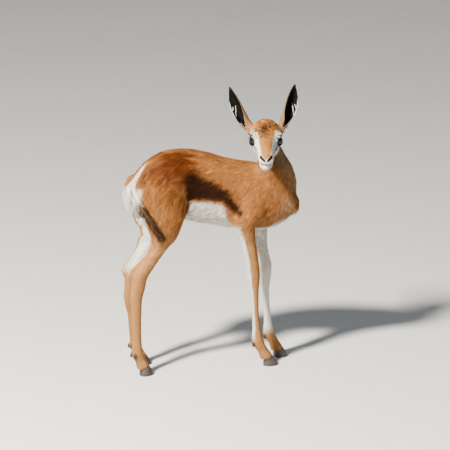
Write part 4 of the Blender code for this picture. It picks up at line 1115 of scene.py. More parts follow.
def horn_finish(name, base, rough):
    """Horn: fine rings up its height, darker and lighter streaks down it, and a worn, dusty lower edge."""
    made, tree = node_tree(name)
    if tree is None:
        return made
    shader = tree.nodes["Principled BSDF"]
    place = linked(tree, "ShaderNodeTexCoord")
    down = linked(tree, "ShaderNodeMapping", {"Vector": place.outputs["Object"], "Scale": (1.0, 1.0, 0.12)})
    level = linked(tree, "ShaderNodeMapping", {"Vector": place.outputs["Object"], "Scale": (0.05, 0.05, 1.0)})
    flow = linked(tree, "ShaderNodeTexNoise", {"Vector": down.outputs["Vector"], "Scale": 420.0, "Detail": 3.0})
    rings = linked(tree, "ShaderNodeTexNoise", {"Vector": level.outputs["Vector"], "Scale": 900.0, "Detail": 1.0})
    both = linked(tree, "ShaderNodeMath", {0: flow.outputs["Fac"], 1: rings.outputs["Fac"]}, operation="ADD")
    ramp = linked(tree, "ShaderNodeMapRange", {
        "Value": both.outputs[0], "From Min": 0.7, "From Max": 1.3, "To Min": 0.0, "To Max": 1.0})
    tone = linked(tree, "ShaderNodeMix", data_type="RGBA")
    tree.links.new(ramp.outputs["Result"], tone.inputs["Factor"])
    tone.inputs["A"].default_value = (*[c * 0.55 for c in base], 1)
    tone.inputs["B"].default_value = (*[min(c * 1.7, 1) for c in base], 1)
    height = linked(tree, "ShaderNodeSeparateXYZ", {"Vector": place.outputs["Object"]})
    dust = linked(tree, "ShaderNodeMapRange", {
        "Value": height.outputs["Z"], "From Min": 0.010, "From Max": 0.0, "To Min": 0.0, "To Max": 0.55})
    worn = linked(tree, "ShaderNodeMix", data_type="RGBA")
    tree.links.new(dust.outputs["Result"], worn.inputs["Factor"])
    tree.links.new(tone.outputs["Result"], worn.inputs["A"])
    worn.inputs["B"].default_value = (0.30, 0.25, 0.19, 1)
    tree.links.new(worn.outputs["Result"], shader.inputs["Base Color"])
    shader.inputs["Roughness"].default_value = rough
    bump = linked(tree, "ShaderNodeBump", {"Height": both.outputs[0], "Strength": 0.4, "Distance": 0.0004})
    tree.links.new(bump.outputs["Normal"], shader.inputs["Normal"])
    return made


def floor_finish(colour):
    """A pale plain floor with the faintest mottle."""
    made, tree = node_tree("floor")
    if tree is None:
        return made
    shader = tree.nodes["Principled BSDF"]
    place = linked(tree, "ShaderNodeTexCoord")
    base = linked(tree, "ShaderNodeRGB")
    base.outputs[0].default_value = (*colour, 1)
    tone = speckled(tree, base.outputs[0], place.outputs["Object"], 14.0, 0.015)
    tree.links.new(tone, shader.inputs["Base Color"])
    shader.inputs["Roughness"].default_value = 0.9
    return made


class LAMB_OT_skin(bpy.types.Operator):
    """One seamless skin for trunk, neck, head, legs, ears and tail, with lids, nostrils and mouth."""

    bl_idname = "lamb.skin"
    bl_label = "Skin"

    voxel = 0.00115
    faces = 118000

    def execute(self, context):
        sizes, colours = context.scene.lamb_sizes, context.scene.lamb_colours
        ob = swollen_flesh()
        modified(ob, "REMESH", mode="VOXEL", voxel_size=self.voxel)
        points = points_of(ob)
        on_head = near_chain(to_head(points), [(-0.05, 0.0, 0.0, 0.052), (0.07, -0.015, 0.0, 0.052)]) < 0
        rounds = np.where(points[:, 2] > 0.36, 34, 9)
        chest = (points[:, 0] > 0.13) & (np.abs(points[:, 2] - 0.465) < 0.05)
        rounds = np.where(chest, 140, rounds)
        rounds = np.where(on_head, 4, rounds)
        relaxed(ob, rounds)
        group = ob.vertex_groups.new(name="body")
        group.add(np.flatnonzero(~on_head).tolist(), 1.0, "REPLACE")
        total = len(ob.data.polygons) * 2
        modified(ob, "DECIMATE", ratio=self.faces / total, vertex_group="body", vertex_group_factor=1.0)
        ob.vertex_groups.clear()
        set_points(ob, points_of(ob) - normals_of(ob) * coat_depth(points_of(ob), sizes)[:, None])
        finer_face(ob)
        carve_face(ob, sizes)
        for hand in HANDS.values():
            self.joined(ob, ear_solid(hand))
        self.joined(ob, ring_solid("tail_core", tube(TAIL, 60, 14)))
        ob.data.shade_smooth()
        self.dress(ob, colours)
        fitted(ob, "coat_back", *FLESH, "ear_left", "ear_right", "tail")
        return {"FINISHED"}

    @staticmethod
    def joined(ob, other):
        modified(ob, "BOOLEAN", object=other, operation="UNION", solver="MANIFOLD")
        gone(other)
        if not ob.data.polygons:
            raise RuntimeError("the skin was lost in a union")

    @staticmethod
    def dress(ob, colours):
        points, normals = points_of(ob), normals_of(ob)
        way, region = lie_of_coat(points, normals)
        streak = streaks(points, region)
        colour = coat_colour(points, normals, streak, colours)
        head = to_head(points)
        on_head = near_chain(head, [(-0.05, 0.0, 0.0, 0.05), (0.07, -0.015, 0.0, 0.05)]) < 0
        # Painted shade under the coat: the skin keeps 0.66 of its colour on the body and 0.86 on the head, and 0.34
        # less under the crown's curls
        shade = np.where(on_head, 0.86, 0.66)
        shade = shade - 0.34 * on_head * ease((head[:, 1] - 0.016) / 0.010) * ease((0.020 - head[:, 0]) / 0.010)
        paint(ob, colour * shade[:, None])
        grain = np.where(on_head[:, None], head * (0.2, 1.0, 1.0), points * (1.0, 1.0, 0.22))
        values(ob, "grain", grain)
        mirrored = np.stack([head[:, 0], head[:, 1], np.abs(head[:, 2])], -1)
        wet = ease((0.0034 - near_chain(mirrored, [(*r, 0.0) for r in NOSTRIL])) / 0.002)
        values(ob, "wet", wet * on_head)
        ob.data.materials.clear()
        ob.data.materials.append(skin_finish())


def on_face(points):
    """Above 0 on the head in front of the neck."""
    return -near_chain(to_head(points), [(-0.046, 0.006, 0.0, 0.044), (0.07, -0.015, 0.0, 0.044)])


class LAMB_OT_body_coat(bpy.types.Operator):
    """Tufts over trunk, neck and upper legs, in pieces by place."""

    bl_idname = "lamb.body_coat"
    bl_label = "Coat of the body"

    def execute(self, context):
        scene = context.scene
        sizes, colours = scene.lamb_sizes, scene.lamb_colours
        chance = np.random.default_rng(11)
        skin = bpy.data.objects["skin"]

        def weight(p):
            low = ease((p[:, 2] - 0.235) / 0.03)
            clear = (p[:, 2] < 0.632) & (near_chain(p, TAIL) > 0.0015)
            return low * clear * (on_face(p) < 0.004)

        root, out = scattered(skin, scene.lamb_counts.body, weight, chance)
        way, region = lie_of_coat(root, out)
        body = to_body(root)
        streak = streaks(root, region)
        pull, own = clumps(root, 0.0060, 3)
        pull -= out * np.einsum("ij,ij->i", pull, out)[:, None]
        side = np.cross(way, out)
        way = unit(way + 0.10 * chance.standard_normal(len(root))[:, None] * side
                   + 0.30 * noise(root, 0.030, 5)[:, None] * side + 14.0 * pull)
        length = sizes.trunk_hair * (0.78 + 0.22 * ease((root[:, 2] - 0.36) / 0.08))
        length *= 1 - 0.45 * ease((0.40 - root[:, 2]) / 0.14)
        length *= 1 - 0.30 * ease((root[:, 2] - 0.50) / 0.05) * ease((root[:, 0] - 0.11) / 0.03)
        lift = 0.26 + 0.08 * chance.random(len(root)) + 0.10 * own
        rump = ease((-0.170 - body[:, 0]) / 0.02) * ease((root[:, 2] - 0.34) / 0.03)
        rump *= ease((0.060 - np.abs(body[:, 1])) / 0.02)
        brisket = ease(1 - near_chain(body, [(0.150, 0, 0.375, 0.02), (0.200, 0, 0.405, 0.02)]) / 0.012)
        belly = ease((0.395 - root[:, 2]) / 0.02) * ease((0.045 - np.abs(body[:, 1])) / 0.02)
        belly *= ease((root[:, 2] - 0.345) / 0.01)
        length *= 1 + 0.35 * rump + 0.55 * brisket + 0.15 * belly
        length *= 0.80 + 0.40 * own
        lift += 0.30 * rump + 0.25 * brisket
        colour = coat_colour(root, out, streak, colours)
        colour *= np.clip(1 + 0.50 * (own - 0.5) + 0.34 * streak, 0.3, 1.6)[:, None]
        made = tufts(root, way, out, length, sizes.hair_width * (0.8 + 0.4 * own), 2, (lift, -0.10))
        shades = hair_colours(root, colour, 7, 2, chance)
        for name, held, slot, origin, axis, front in self.regions(root, body):
            uv = unwrapped(root[held], origin, axis, front)
            piece = (made[0][held], made[1], made[2][held])
            fitted(coat_piece(name, piece, shades[held], out[held], uv), slot)
        return {"FINISHED"}

    @staticmethod
    def regions(root, body):
        """Name, mask, slot and unwrap axis of each piece of the body's coat."""
        x, side, z = body.T
        neck = (z > 0.492) & (x > 0.105)
        legs = (z < 0.375) & ~neck
        trunk = ~neck & ~legs
        forward = {"fore": x > 0.045, "mid": (x <= 0.045) & (x > -0.075), "rear": x <= -0.075}
        middle_of = np.array([-0.02, spine_y(0.0), 0.45])
        out = []
        for word, hand in HANDS.items():
            for part, where in forward.items():
                held = trunk & where & (side * hand > 0)
                out.append((f"coat_{part}_{word}", held, "coat_back", middle_of, (1, 0, 0), (0, hand, 0)))
        out.append(("coat_neck", neck, "coat_face", NECK_BONE[-1], UP, (1, 0, 0)))
        leg = leg_of(root)
        for k, name in enumerate(LEGS):
            held = legs & (leg == k)
            out.append((f"coat_{name}_upper", held, "coat_leg", LEG_BONES[name][10], UP, (1, 0, 0)))
        return out


class LAMB_OT_leg_coat(bpy.types.Operator):
    """The shortest tufts, on the lower legs down to the hooves."""

    bl_idname = "lamb.leg_coat"
    bl_label = "Coat of the lower legs"

    def execute(self, context):
        scene = context.scene
        sizes, colours = scene.lamb_sizes, scene.lamb_colours
        chance = np.random.default_rng(12)
        skin = bpy.data.objects["skin"]
        root, out = scattered(skin, scene.lamb_counts.shins,
                              lambda p: 1.0 * (p[:, 2] < 0.262) * (p[:, 2] > 0.020), chance)
        way, region = lie_of_coat(root, out)
        streak = streaks(root, region, 0.0016, 0.010)
        side = np.cross(way, out)
        way = unit(way + 0.14 * chance.standard_normal(len(root))[:, None] * side)
        foot = ease((0.085 - root[:, 2]) / 0.03)
        length = sizes.leg_hair * (0.8 + 0.4 * chance.random(len(root))) * (1 + 0.3 * foot)
        low = root[:, 2] + way[:, 2] * length
        length = np.where(low < 0.014, length * 0.55, length)
        lift = 0.16 + 0.12 * chance.random(len(root)) + 0.1 * foot
        colour = coat_colour(root, out, streak, colours) * (1 + 0.14 * streak)[:, None]
        made = tufts(root, way, out, length, 0.00030, 1, (lift, lift), sink=0.0003)
        shades = hair_colours(root, colour, 4, 1, chance, 0.72, 1.08, 0.12)
        leg = leg_of(root)
        for k, name in enumerate(LEGS):
            held = leg == k
            uv = unwrapped(root[held], LEG_BONES[name][-4], UP, (1, 0, 0))
            piece = (made[0][held], made[1], made[2][held])
            fitted(coat_piece(f"coat_{name}_cannon", piece, shades[held], out[held], uv), "coat_leg")
        return {"FINISHED"}


class LAMB_OT_face_coat(bpy.types.Operator):
    """Fine short tufts on the face, and curled tufts on the crown."""

    bl_idname = "lamb.face_coat"
    bl_label = "Coat of the face"

    def execute(self, context):
        scene = context.scene
        sizes, colours = scene.lamb_sizes, scene.lamb_colours
        chance = np.random.default_rng(13)
        skin = bpy.data.objects["skin"]

        def open_skin(p):
            head = to_head(p)
            mirrored = np.stack([head[:, 0], head[:, 1], np.abs(head[:, 2])], -1)
            bare = near_chain(mirrored, [(*r, 0.0) for r in NOSTRIL]) < 0.0030
            bare |= near_chain(mirrored, [(*r, 0.0) for r in MOUTH]) < 0.0038
            for word, hand in HANDS.items():
                look, along, high = eye_axes(hand)
                o = p - EYE_MIDDLE[word]
                bare |= (o @ look > 0) & (opening_share(o @ along, o @ high) < 1.55) & (
                    np.linalg.norm(o, axis=1) < 0.022)
            return (on_face(p) > -0.003) & ~bare & (ear_sides(p, UP + 0 * p)[0] < 0.5)

        root, out = scattered(skin, scene.lamb_counts.face, lambda p: 1.0 * open_skin(p), chance)
        way, region = lie_of_coat(root, out)
        head = to_head(root)
        streak = streaks(root, region, 0.0014, 0.007)
        side = np.cross(way, out)
        way = unit(way + 0.16 * chance.standard_normal(len(root))[:, None] * side)
        muzzle = ease((head[:, 0] - 0.045) / 0.03)
        length = sizes.face_hair * (1 - 0.45 * muzzle) * (0.8 + 0.4 * chance.random(len(root)))
        length *= 1 + 0.9 * ease((-0.020 - head[:, 0]) / 0.02)
        lift = 0.20 + 0.12 * chance.random(len(root))
        colour = coat_colour(root, out, streak, colours) * (1 + 0.12 * streak)[:, None]
        made = tufts(root, way, out, length, 0.00024, 1, (lift, lift), sink=0.0003)
        shades = hair_colours(root, colour, 4, 1, chance, 0.74, 1.06, 0.12)
        uv = unwrapped(root, in_head((-0.02, -0.005, 0.0)), NOSE, BROW)
        fitted(coat_piece("coat_face", made, shades, out, uv), "coat_face")
        self.crown(skin, scene.lamb_counts.crown, sizes, colours, chance)
        return {"FINISHED"}

    @staticmethod
    def crown(skin, count, sizes, colours, chance):
        """Curls: tufts that turn sideways by about a third of a circle, in whorls of one hand."""

        def where(p):
            head = to_head(p)
            share = ease((head[:, 1] - 0.014) / 0.010) * ease((0.020 - head[:, 0]) / 0.010)
            share *= ease((0.036 - np.abs(head[:, 2])) / 0.006) * (on_face(p) > -0.01)
            return share * (ear_sides(p, UP + 0 * p)[0] < 0.3)

        root, out = scattered(skin, count, where, chance)
        way, region = lie_of_coat(root, out)
        pull, own = clumps(root, 0.0095, 21)
        pull -= out * np.einsum("ij,ij->i", pull, out)[:, None]
        side = np.cross(way, out)
        hand = np.where(own > 0.5, 1.0, -1.0)
        way = unit(way * 0.6 + hand[:, None] * np.cross(unit(pull), out) * 0.9
                   + 0.25 * chance.standard_normal(len(root))[:, None] * side)
        yaw = hand * (1.1 + 0.9 * chance.random(len(root)))
        length = 0.0100 * (0.7 + 0.6 * chance.random(len(root)))
        streak = streaks(root, region, 0.0020, 0.006)
        colour = coat_colour(root, out, streak, colours) * np.clip(1 + 1.4 * (own - 0.5) + 0.60 * streak, 0.2, 1.9)[:, None]
        made = tufts(root, way, out, length, 0.00062, 4, (0.60, -0.30), yaw)
        shades = hair_colours(root, colour, 13, 4, chance, 0.40, 1.20, 0.20)
        uv = unwrapped(root, in_head((-0.02, -0.005, 0.0)), NOSE, BROW)
        fitted(coat_piece("coat_crown", made, shades, out, uv), "coat_face")


class LAMB_OT_ears(bpy.types.Operator):
    """Hair of the ears: short on the back, dark in the hollow, white streaks and rims, and a dark tip."""

    bl_idname = "lamb.ears"
    bl_label = "Hair of the ears"

    # The hollow's white streaks: where they start and end, as share of length and place from the inner edge
    streaks = [(0.40, 0.84, 0.60, 0.38), (0.54, 0.86, 0.72, 0.42), (0.66, 0.80, 0.82, 0.30)]

    def execute(self, context):
        scene = context.scene
        colours, count = scene.lamb_colours, scene.lamb_counts.ears
        chance = np.random.default_rng(14)
        for word, hand in HANDS.items():
            sets = [self.back(hand, count, colours, chance), self.hollow(hand, count, colours, chance),
                    self.rims(hand, count // 2, colours, chance),
                    self.white_streaks(hand, count // 26, colours, chance)]
            points = np.concatenate([s[0] for s in sets])
            ways = np.concatenate([s[1] for s in sets])
            shades = np.concatenate([s[2] for s in sets])
            out = np.concatenate([s[3] for s in sets])
            uv = np.concatenate([s[4] for s in sets])
            faces = tufts(np.zeros((1, 3)), UP[None], NOSE[None], 1, 1, 2)[1]
            ob = coat_piece("ear_hair_" + word, (points, faces, ways), shades, out, uv)
            fitted(ob, "ear_hair")
        return {"FINISHED"}

    @staticmethod
    def made(hand, share, across, layer, chance, length, width, lift, colour, bend=0.0, sheet=0.0):
        """Tufts on one skin of the ear, pointing to its tip and bent sideways; the map has the back in its
        lower half and the hollow in its upper half."""
        root, out, axis, side = ear_point(hand, share, across, layer)
        ahead = ear_point(hand, np.minimum(share + 0.01, 1.01), across, layer)[0] - root
        way = unit(unit(ahead) + bend[:, None] * side + 0.12 * chance.standard_normal(len(share))[:, None] * side)
        way = unit(way - out * np.einsum("ij,ij->i", way, out)[:, None])
        points, _, ways = tufts(root, way, out, length, width, 2, (lift, lift * 0.2), sink=0.0002)
        shades = hair_colours(root, colour, 7, 2, chance, 0.75, 1.08, 0.14)
        uv = np.stack([(across + 1) / 2 * 0.46 + 0.02 + 0.5 * (layer < 0), 0.02 + 0.96 * share], -1)
        return points, ways, shades, out, uv

    def back(self, hand, count, colours, chance):
        share, across = chance.random(count) ** 0.8, chance.uniform(-1, 1, count)
        edge = np.maximum(ease((np.abs(across) - 0.80) / 0.2), ease((share - 0.82) / 0.15))
        colour = mixed(np.tile(np.array(colours.ear_back), (count, 1)), colours.ear_rim, 0.75 * edge)
        colour = mixed(colour, colours.crown, 0.6 * ease((0.22 - share) / 0.15))
        length = 0.0060 - 0.0028 * share
        return self.made(hand, 0.10 + 0.88 * share, across, 1.0, chance, length, 0.00030, 0.16, colour,
                         0 * share)

    def hollow(self, hand, count, colours, chance):
        share, across = 0.12 + 0.84 * chance.random(count), chance.uniform(-0.95, 0.95, count)
        colour = ear_pattern(share, across * outer_hand(hand), colours)
        return self.made(hand, share, across, -1.0, chance, 0.0042 + 0 * share, 0.00026, 0.07,
                         colour, -0.3 * across)

    def rims(self, hand, count, colours, chance):
        """Pale hair along both edges, leaning into the opening, longest near the base."""
        share = chance.random(count)
        edge = np.where(chance.random(count) > 0.5, 1.0, -1.0)
        across = edge * (1 - 0.10 * chance.random(count) ** 2)
        pale = np.tile(np.array(colours.white), (count, 1)) * 0.85
        inner = edge * outer_hand(hand) < 0
        colour = mixed(pale, colours.ear_back, 0.9 * inner)
        colour = mixed(colour, colours.ear_rim, ease((share - 0.66) / 0.22))
        length = 0.0046 - 0.0026 * share
        return self.made(hand, 0.10 + 0.88 * share, across, -1.0, chance, length, 0.00024, 0.04, colour,
                         -0.65 * edge)

    def white_streaks(self, hand, count, colours, chance):
        """Long white hairs that lie in the hollow in a few thin bundles, from its outer rim inward."""
        rows = np.array(self.streaks)[chance.integers(0, len(self.streaks), count)]
        t = chance.random(count)[:, None]
        share, outer = (rows[:, :2] + (rows[:, 2:] - rows[:, :2]) * t).T
        outer = outer + 0.03 * chance.standard_normal(count)
        colour = np.tile(np.array(colours.white), (count, 1)) * 0.85
        across = np.clip(outer, -0.95, 0.95) * outer_hand(hand)
        return self.made(hand, share, across, -1.0, chance,
                         0.0070 * (0.7 + 0.6 * chance.random(count)), 0.00024, 0.08, colour,
                         -0.30 * np.sign(across))


class LAMB_OT_tail(bpy.types.Operator):
    """The tail's hair: short and white at the root, then a thin dark brush of long locks."""

    bl_idname = "lamb.tail"
    bl_label = "Hair of the tail"

    outward = (-0.35, -0.90, 0.20)  # away from the thigh that the tail lies on

    def execute(self, context):
        scene = context.scene
        sizes, colours, count = scene.lamb_sizes, scene.lamb_colours, scene.lamb_counts.brush
        chance = np.random.default_rng(15)
        line = through(TAIL, 240)
        share = np.sort(0.10 + 0.85 * chance.random(count))
        at = share * (len(line) - 1)
        place = np.stack([np.interp(at, np.arange(len(line)), line[:, k]) for k in range(4)], -1)
        along = unit(np.gradient(line[:, :3], axis=0))[at.astype(int)]
        away = np.asarray(self.outward)
        away = unit(away - along * (along @ away)[:, None])
        side = np.cross(along, away)
        turn = chance.uniform(-np.pi, np.pi, count)
        out = np.cos(turn)[:, None] * away + np.sin(turn)[:, None] * side
        brush = ease((share - 0.36) / 0.12)
        length = 0.010 + (sizes.brush_hair - 0.010) * brush * (0.50 + 0.70 * chance.random(count))
        length *= 1 - 0.35 * ease((share - 0.8) / 0.2)
        root = place[:, :3] + out * (place[:, 3:4] - 0.0003)
        colour = mixed(np.tile(np.array(colours.white), (count, 1)), colours.brush, brush)
        colour = mixed(colour, colours.thigh, 0.5 * brush * (chance.random(count) > 0.78))
        colour *= (0.7 + 0.7 * chance.random(count))[:, None]
        lift = 0.22 + 0.42 * brush * chance.random(count)
        along = unit(along + 0.12 * chance.standard_normal(count)[:, None] * side)
        made = tufts(root, along, out, length, 0.00042 + 0.00020 * brush, 5, (lift, -0.10),
                     0.45 * chance.standard_normal(count))
        shades = hair_colours(root, colour, 16, 5, chance, 0.7, 1.15, 0.15)
        uv = np.stack([0.02 + 0.96 * (turn / (2 * np.pi) + 0.5), 0.02 + 0.96 * share], -1)
        fitted(coat_piece("tail_hair", made, shades, out, uv), "tail_brush")
        return {"FINISHED"}


class LAMB_OT_eyes(bpy.types.Operator):
    """Eyeballs with their corneas, the dark edges of the lids and the lashes."""

    bl_idname = "lamb.eyes"
    bl_label = "Eyes"

    def execute(self, context):
        sizes, colours = context.scene.lamb_sizes, context.scene.lamb_colours
        for word, hand in HANDS.items():
            fitted(self.ball(word, hand, colours), "eye", "eye_" + word)
            fitted(self.lid_edge(word, hand, sizes, colours), "eye")
            fitted(self.lashes(word, hand, sizes, colours), "eye")
        return {"FINISHED"}

    @staticmethod
    def ball(word, hand, colours, rings=48, sides=72):
        """A sphere whose radius grows by 0.7 mm, eased, within 42 degrees of the way it looks."""
        look, along, high = eye_axes(hand)
        polar = np.linspace(0, np.pi, rings + 2)[1:-1]
        turn = np.arange(sides) * 2 * np.pi / sides
        ball = np.stack([np.outer(np.sin(polar), np.cos(turn)), np.outer(np.sin(polar), np.sin(turn)),
                         np.outer(np.cos(polar), np.ones(sides))], -1)
        radius = EYE_RADIUS + 0.0007 * ease((np.radians(42) - polar) / np.radians(22))
        axes = np.stack([along, high, look])
        points = EYE_MIDDLE[word] + (ball * radius[:, None, None]) @ axes
        poles = EYE_MIDDLE[word] + np.array([look * radius[0], -look * EYE_RADIUS])
        faces = grid_faces(rings, sides).tolist()
        j = np.arange(sides)
        k = (j + 1) % sides
        first, last, end = rings * sides, rings * sides + 1, (rings - 1) * sides
        faces += np.stack([k, j, np.full(sides, first)], -1).tolist()
        faces += np.stack([end + j, end + k, np.full(sides, last)], -1).tolist()
        ob = solid("eyeball_" + word, np.concatenate([points.reshape(-1, 3), poles]), faces)
        gaze = np.concatenate([ball.reshape(-1, 3), [[0, 0, 1], [0, 0, -1]]])
        values(ob, "gaze", gaze * (1.0, 1.25, 1.0))
        ob.data.materials.append(eye_finish(colours))
        return ob

    @staticmethod
    def opening(word, hand, radius, count, grow=1.0):
        """Points round the edge of the opening, on a ball of the given radius."""
        look, along, high = eye_axes(hand)
        turn = np.arange(count) * 2 * np.pi / count
        half, tall = EYE_OPENING
        x = grow * half * np.cos(turn)
        y = grow * tall * np.sign(np.sin(turn)) * (1 - np.abs(np.cos(turn)) ** 1.9) ** 0.62
        z = np.sqrt(np.maximum(radius**2 - x**2 - y**2, 1e-8))
        return EYE_MIDDLE[word] + x[:, None] * along + y[:, None] * high + z[:, None] * look, turn

    def lid_edge(self, word, hand, sizes, colours):
        """A soft black roll round the opening, thicker above than below."""
        line, turn = self.opening(word, hand, EYE_RADIUS + 0.0006, 96, 1.01)
        along = unit(np.roll(line, -1, 0) - np.roll(line, 1, 0))
        out = unit(line - EYE_MIDDLE[word])
        side = np.cross(along, out)
        angle = np.arange(10) * 2 * np.pi / 10
        thick = 0.0011 + 0.0006 * ease(np.sin(turn))
        rings = line[:, None] + thick[:, None, None] * (
            np.cos(angle)[None, :, None] * side[:, None] + np.sin(angle)[None, :, None] * out[:, None])
        i, j = np.meshgrid(np.arange(96), np.arange(10), indexing="ij")
        n, m = (i + 1) % 96, (j + 1) % 10
        faces = np.stack([i * 10 + j, n * 10 + j, n * 10 + m, i * 10 + m], -1).reshape(-1, 4).tolist()
        ob = solid("lid_edge_" + word, rings.reshape(-1, 3), faces)
        ob.data.materials.append(lid_finish(colours))
        return ob

    def lashes(self, word, hand, sizes, colours, count=260):
        """Tapered lashes along the upper lid, and short ones below, swept back and out."""
        line, turn = self.opening(word, hand, EYE_RADIUS + 0.0012, count, 1.03)
        look, along, high = eye_axes(hand)
        out = unit(line - EYE_MIDDLE[word])
        away = unit(out * 0.55 + high * np.sign(np.sin(turn))[:, None] * 0.55 - along * 0.35)
        upper = ease(np.sin(turn) * 3)
        length = 0.0022 + 0.0060 * upper
        base = unit(out - away * np.einsum("ij,ij->i", out, away)[:, None])
        points, faces, ways = tufts(line, away, base, length, 0.00034, 4, (-0.25, 0.45), sink=0.0)
        ob = mesh_from("lashes_" + word, points.reshape(-1, 3),
                       (np.arange(count)[:, None, None] * 13 + faces).reshape(-1, 3))
        ob.data.materials.append(lid_finish(colours))
        return ob


def lid_finish(colours):
    """Black moist skin with a fine grain."""
    made, tree = node_tree("lid")
    if tree is None:
        return made
    shader = tree.nodes["Principled BSDF"]
    place = linked(tree, "ShaderNodeTexCoord")
    base = linked(tree, "ShaderNodeRGB")
    base.outputs[0].default_value = (*colours.lid, 1)
    colour = speckled(tree, base.outputs[0], place.outputs["Object"], 2500.0, 0.4)
    tree.links.new(colour, shader.inputs["Base Color"])
    shader.inputs["Roughness"].default_value = 0.65
    shader.inputs["IOR"].default_value = 1.05
    return made


class LAMB_OT_feet(bpy.types.Operator):
    """Cloven hooves and dewclaws."""

    bl_idname = "lamb.feet"
    bl_label = "Hooves and dewclaws"

    def execute(self, context):
        colours = context.scene.lamb_colours
        horn = horn_finish("hoof_horn", colours.hoof, 0.42)
        small = horn_finish("dewclaw_horn", colours.dewclaw, 0.45)
        for leg in LEGS:
            for hand, word in ((1, "a"), (-1, "b")):
                ob = self.claw(leg, hand, f"claw_{leg}_{word}")
                ob.data.materials.append(horn)
                fitted(ob, "hoof_horn", f"hoof_{leg}_{word}")
                ob = self.dewclaw(leg, f"dewclaw_{leg}_{word}")
                ob.data.materials.append(small)
                fitted(ob, "dewclaw_horn", f"dewclaw_{leg}_{word}")
        return {"FINISHED"}

    @staticmethod
    def claw(leg, hand, name, levels=34, sides=48):
        """Half of a cloven hoof. A level's outline is a drop, |sin a|^0.8 wide, flat toward the cleft and
        pointed at the toe; it shrinks upward, and fine growth rings ripple it by 0.12 mm."""
        x, y, heading = FEET[leg]
        a = np.radians(heading)
        ahead = np.array([np.cos(a), np.sin(a), 0.0])
        side = np.array([-ahead[1], ahead[0], 0.0]) * hand
        level = np.linspace(0, 1, levels)[:, None]
        toe = np.interp(level, (0, 0.3, 0.65, 1), (0.500, 0.440, 0.325, 0.180))
        heel = np.interp(level, (0, 0.3, 0.65, 1), (-0.46, -0.48, -0.46, -0.42))
        wide = np.interp(level, (0, 0.04, 0.3, 1), (0.88, 0.94, 0.99, 0.99))
        turn = np.arange(sides)[None] * 2 * np.pi / sides
        along = np.cos(turn)
        outer = np.clip(np.sin(turn), 0, None) ** 0.8 * (1 - 0.38 * np.clip(along, 0, 1))
        inner = np.clip(-np.sin(turn), 0, None) ** 0.5 * 0.06
        ripple = 0.00012 * np.sin(level * 60) * ease(level * 8)
        middle_of, half = (toe + heel) / 2 * CLAW_LENGTH, (toe - heel) / 2 * CLAW_LENGTH + ripple
        f = middle_of + half * along
        s = CLEFT / 2 + 0.0008 + (outer * wide - inner) * (CLAW_WIDTH - 0.0008) + ripple * outer
        top = CORONET + CORONET_SLOPE * (f - 0.010)
        z = level * np.minimum(top, CLAW_HEIGHT) + 0.0002
        rings = np.array([x, y, 0.0]) + f[..., None] * ahead + s[..., None] * side + z[..., None] * UP
        ob = ring_solid(name, rings)
        ob.data.set_sharp_from_angle(angle=np.radians(50))
        return ob

    @staticmethod
    def dewclaw(leg, name, rings=14, sides=20):
        """A blunt ellipsoid of horn, fuller than a true one, over the CAD dewclaw's box made 4 percent larger."""
        node = name
        low, high = (np.array(v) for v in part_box(node))
        centre, half = (low + high) / 2, (high - low) / 2 * 1.04
        polar = np.linspace(0, np.pi, rings + 2)[1:-1]
        turn = np.arange(sides) * 2 * np.pi / sides
        ball = np.stack([np.outer(np.sin(polar) ** 0.8, np.cos(turn)), np.outer(np.sin(polar) ** 0.8, np.sin(turn)),
                         np.outer(np.cos(polar), np.ones(sides))], -1)
        rings_at = centre + ball * half
        return ring_solid("horn_" + name, rings_at)


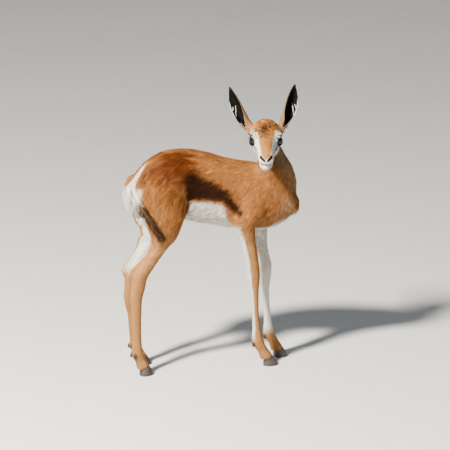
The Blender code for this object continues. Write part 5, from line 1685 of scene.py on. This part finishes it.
class LAMB_OT_stage(bpy.types.Operator):
    """Pale floor and backdrop, soft studio light and the camera."""

    bl_idname = "lamb.stage"
    bl_label = "Stage"

    def execute(self, context):
        colours = context.scene.lamb_colours
        self.floor(colours)
        self.camera(context)
        self.lights(context)
        context.scene.view_settings.look = "AgX - Medium High Contrast"
        return {"FINISHED"}

    @staticmethod
    def floor(colours, half=60.0, rows=3):
        """A level sheet; each row of points is a straight line across."""
        x, y = np.meshgrid(np.linspace(-half, half, rows), np.linspace(-half, half, rows))
        points = np.stack([x.ravel(), y.ravel(), np.zeros(x.size)], -1)
        ob = mesh_from("floor", points, grid_faces(rows, rows, ring=False))
        ob.data.materials.append(floor_finish(colours.floor))

    @staticmethod
    def view_axes():
        a, e = np.radians(VIEW_AZIMUTH), np.radians(VIEW_ELEVATION)
        right = np.array([np.cos(a), np.sin(a), 0.0])
        up = np.array([-np.sin(a) * np.sin(e), np.cos(a) * np.sin(e), np.cos(e)])
        return right, up, np.cross(right, up)

    def camera(self, context):
        right, up, back = self.view_axes()
        stance = np.array([BEND_X, BEND_Y, 0.0])
        aim = stance + VIEW_RIGHT * right + VIEW_UP * up
        data = bpy.data.cameras.new("camera")
        data.sensor_width = SENSOR
        data.lens = SENSOR * VIEW_DISTANCE / VIEW_WIDTH
        data.clip_end = 100.0
        ob = bpy.data.objects.new("camera", data)
        context.scene.collection.objects.link(ob)
        ob.location = aim + back * VIEW_DISTANCE
        ob.rotation_mode = "QUATERNION"
        ob.rotation_quaternion = Vector(-back).to_track_quat("-Z", "Y")
        context.scene.camera = ob

    def lights(self, context):
        """A key from the camera's left and behind it, 43 degrees up, and an even sky."""
        right, _, back = self.view_axes()
        level = unit(back * (1, 1, 0))
        sun = unit(np.tan(np.radians(43.0)) * UP + unit(0.79 * level - 0.61 * right))
        self.area(context, "key", sun, 4.5, 0.55, 620.0, (1.0, 0.945, 0.86))
        fill = unit(0.55 * UP + unit(0.7 * level + 0.8 * right))
        self.area(context, "fill", fill, 4.5, 3.5, 14.0, (0.90, 0.95, 1.0))
        world = bpy.data.worlds.new("sky")
        world.use_nodes = True
        sky = world.node_tree.nodes["Background"]
        sky.inputs["Color"].default_value = (0.86, 0.92, 1.0, 1)
        sky.inputs["Strength"].default_value = 0.26
        context.scene.world = world

    @staticmethod
    def area(context, name, way, distance, size, power, colour):
        data = bpy.data.lights.new(name, "AREA")
        data.shape = "DISK"
        data.size = size
        data.energy = power
        data.color = colour
        ob = bpy.data.objects.new(name, data)
        context.scene.collection.objects.link(ob)
        ob.location = np.array([0.0, 0.0, 0.35]) + way * distance
        ob.rotation_mode = "QUATERNION"
        ob.rotation_quaternion = Vector(-way).to_track_quat("-Z", "Y")


OPERATORS = (
    LAMB_OT_skin,
    LAMB_OT_body_coat,
    LAMB_OT_leg_coat,
    LAMB_OT_face_coat,
    LAMB_OT_ears,
    LAMB_OT_tail,
    LAMB_OT_eyes,
    LAMB_OT_feet,
    LAMB_OT_stage,
)


class LAMB_PT_panel(bpy.types.Panel):
    """Sizes, colours and the steps of the lamb."""

    bl_idname = "LAMB_PT_panel"
    bl_label = "Springbok lamb"
    bl_space_type = "VIEW_3D"
    bl_region_type = "UI"
    bl_category = "Springbok lamb"

    def draw(self, context):
        layout = self.layout
        for group in (context.scene.lamb_sizes, context.scene.lamb_counts, context.scene.lamb_colours):
            box = layout.box()
            for key in group.bl_rna.properties.keys():
                if key not in ("rna_type", "name"):
                    box.prop(group, key)
        for operator in OPERATORS:
            layout.operator(operator.bl_idname)


GROUPS = {"lamb_sizes": LambSizes, "lamb_counts": LambCounts, "lamb_colours": LambColours}


def register():
    for group in GROUPS.values():
        bpy.utils.register_class(group)
    for operator in OPERATORS:
        bpy.utils.register_class(operator)
    bpy.utils.register_class(LAMB_PT_panel)
    for key, group in GROUPS.items():
        setattr(bpy.types.Scene, key, PointerProperty(type=group))


def unregister():
    for key in GROUPS:
        delattr(bpy.types.Scene, key)
    bpy.utils.unregister_class(LAMB_PT_panel)
    for operator in reversed(OPERATORS):
        bpy.utils.unregister_class(operator)
    for group in reversed(GROUPS.values()):
        bpy.utils.unregister_class(group)


def main():
    register()
    bpy.ops.lamb.skin()
    bpy.ops.lamb.body_coat()
    bpy.ops.lamb.leg_coat()
    bpy.ops.lamb.face_coat()
    bpy.ops.lamb.ears()
    bpy.ops.lamb.tail()
    bpy.ops.lamb.eyes()
    bpy.ops.lamb.feet()
    bpy.ops.lamb.stage()


if __name__ == "__main__":
    main()
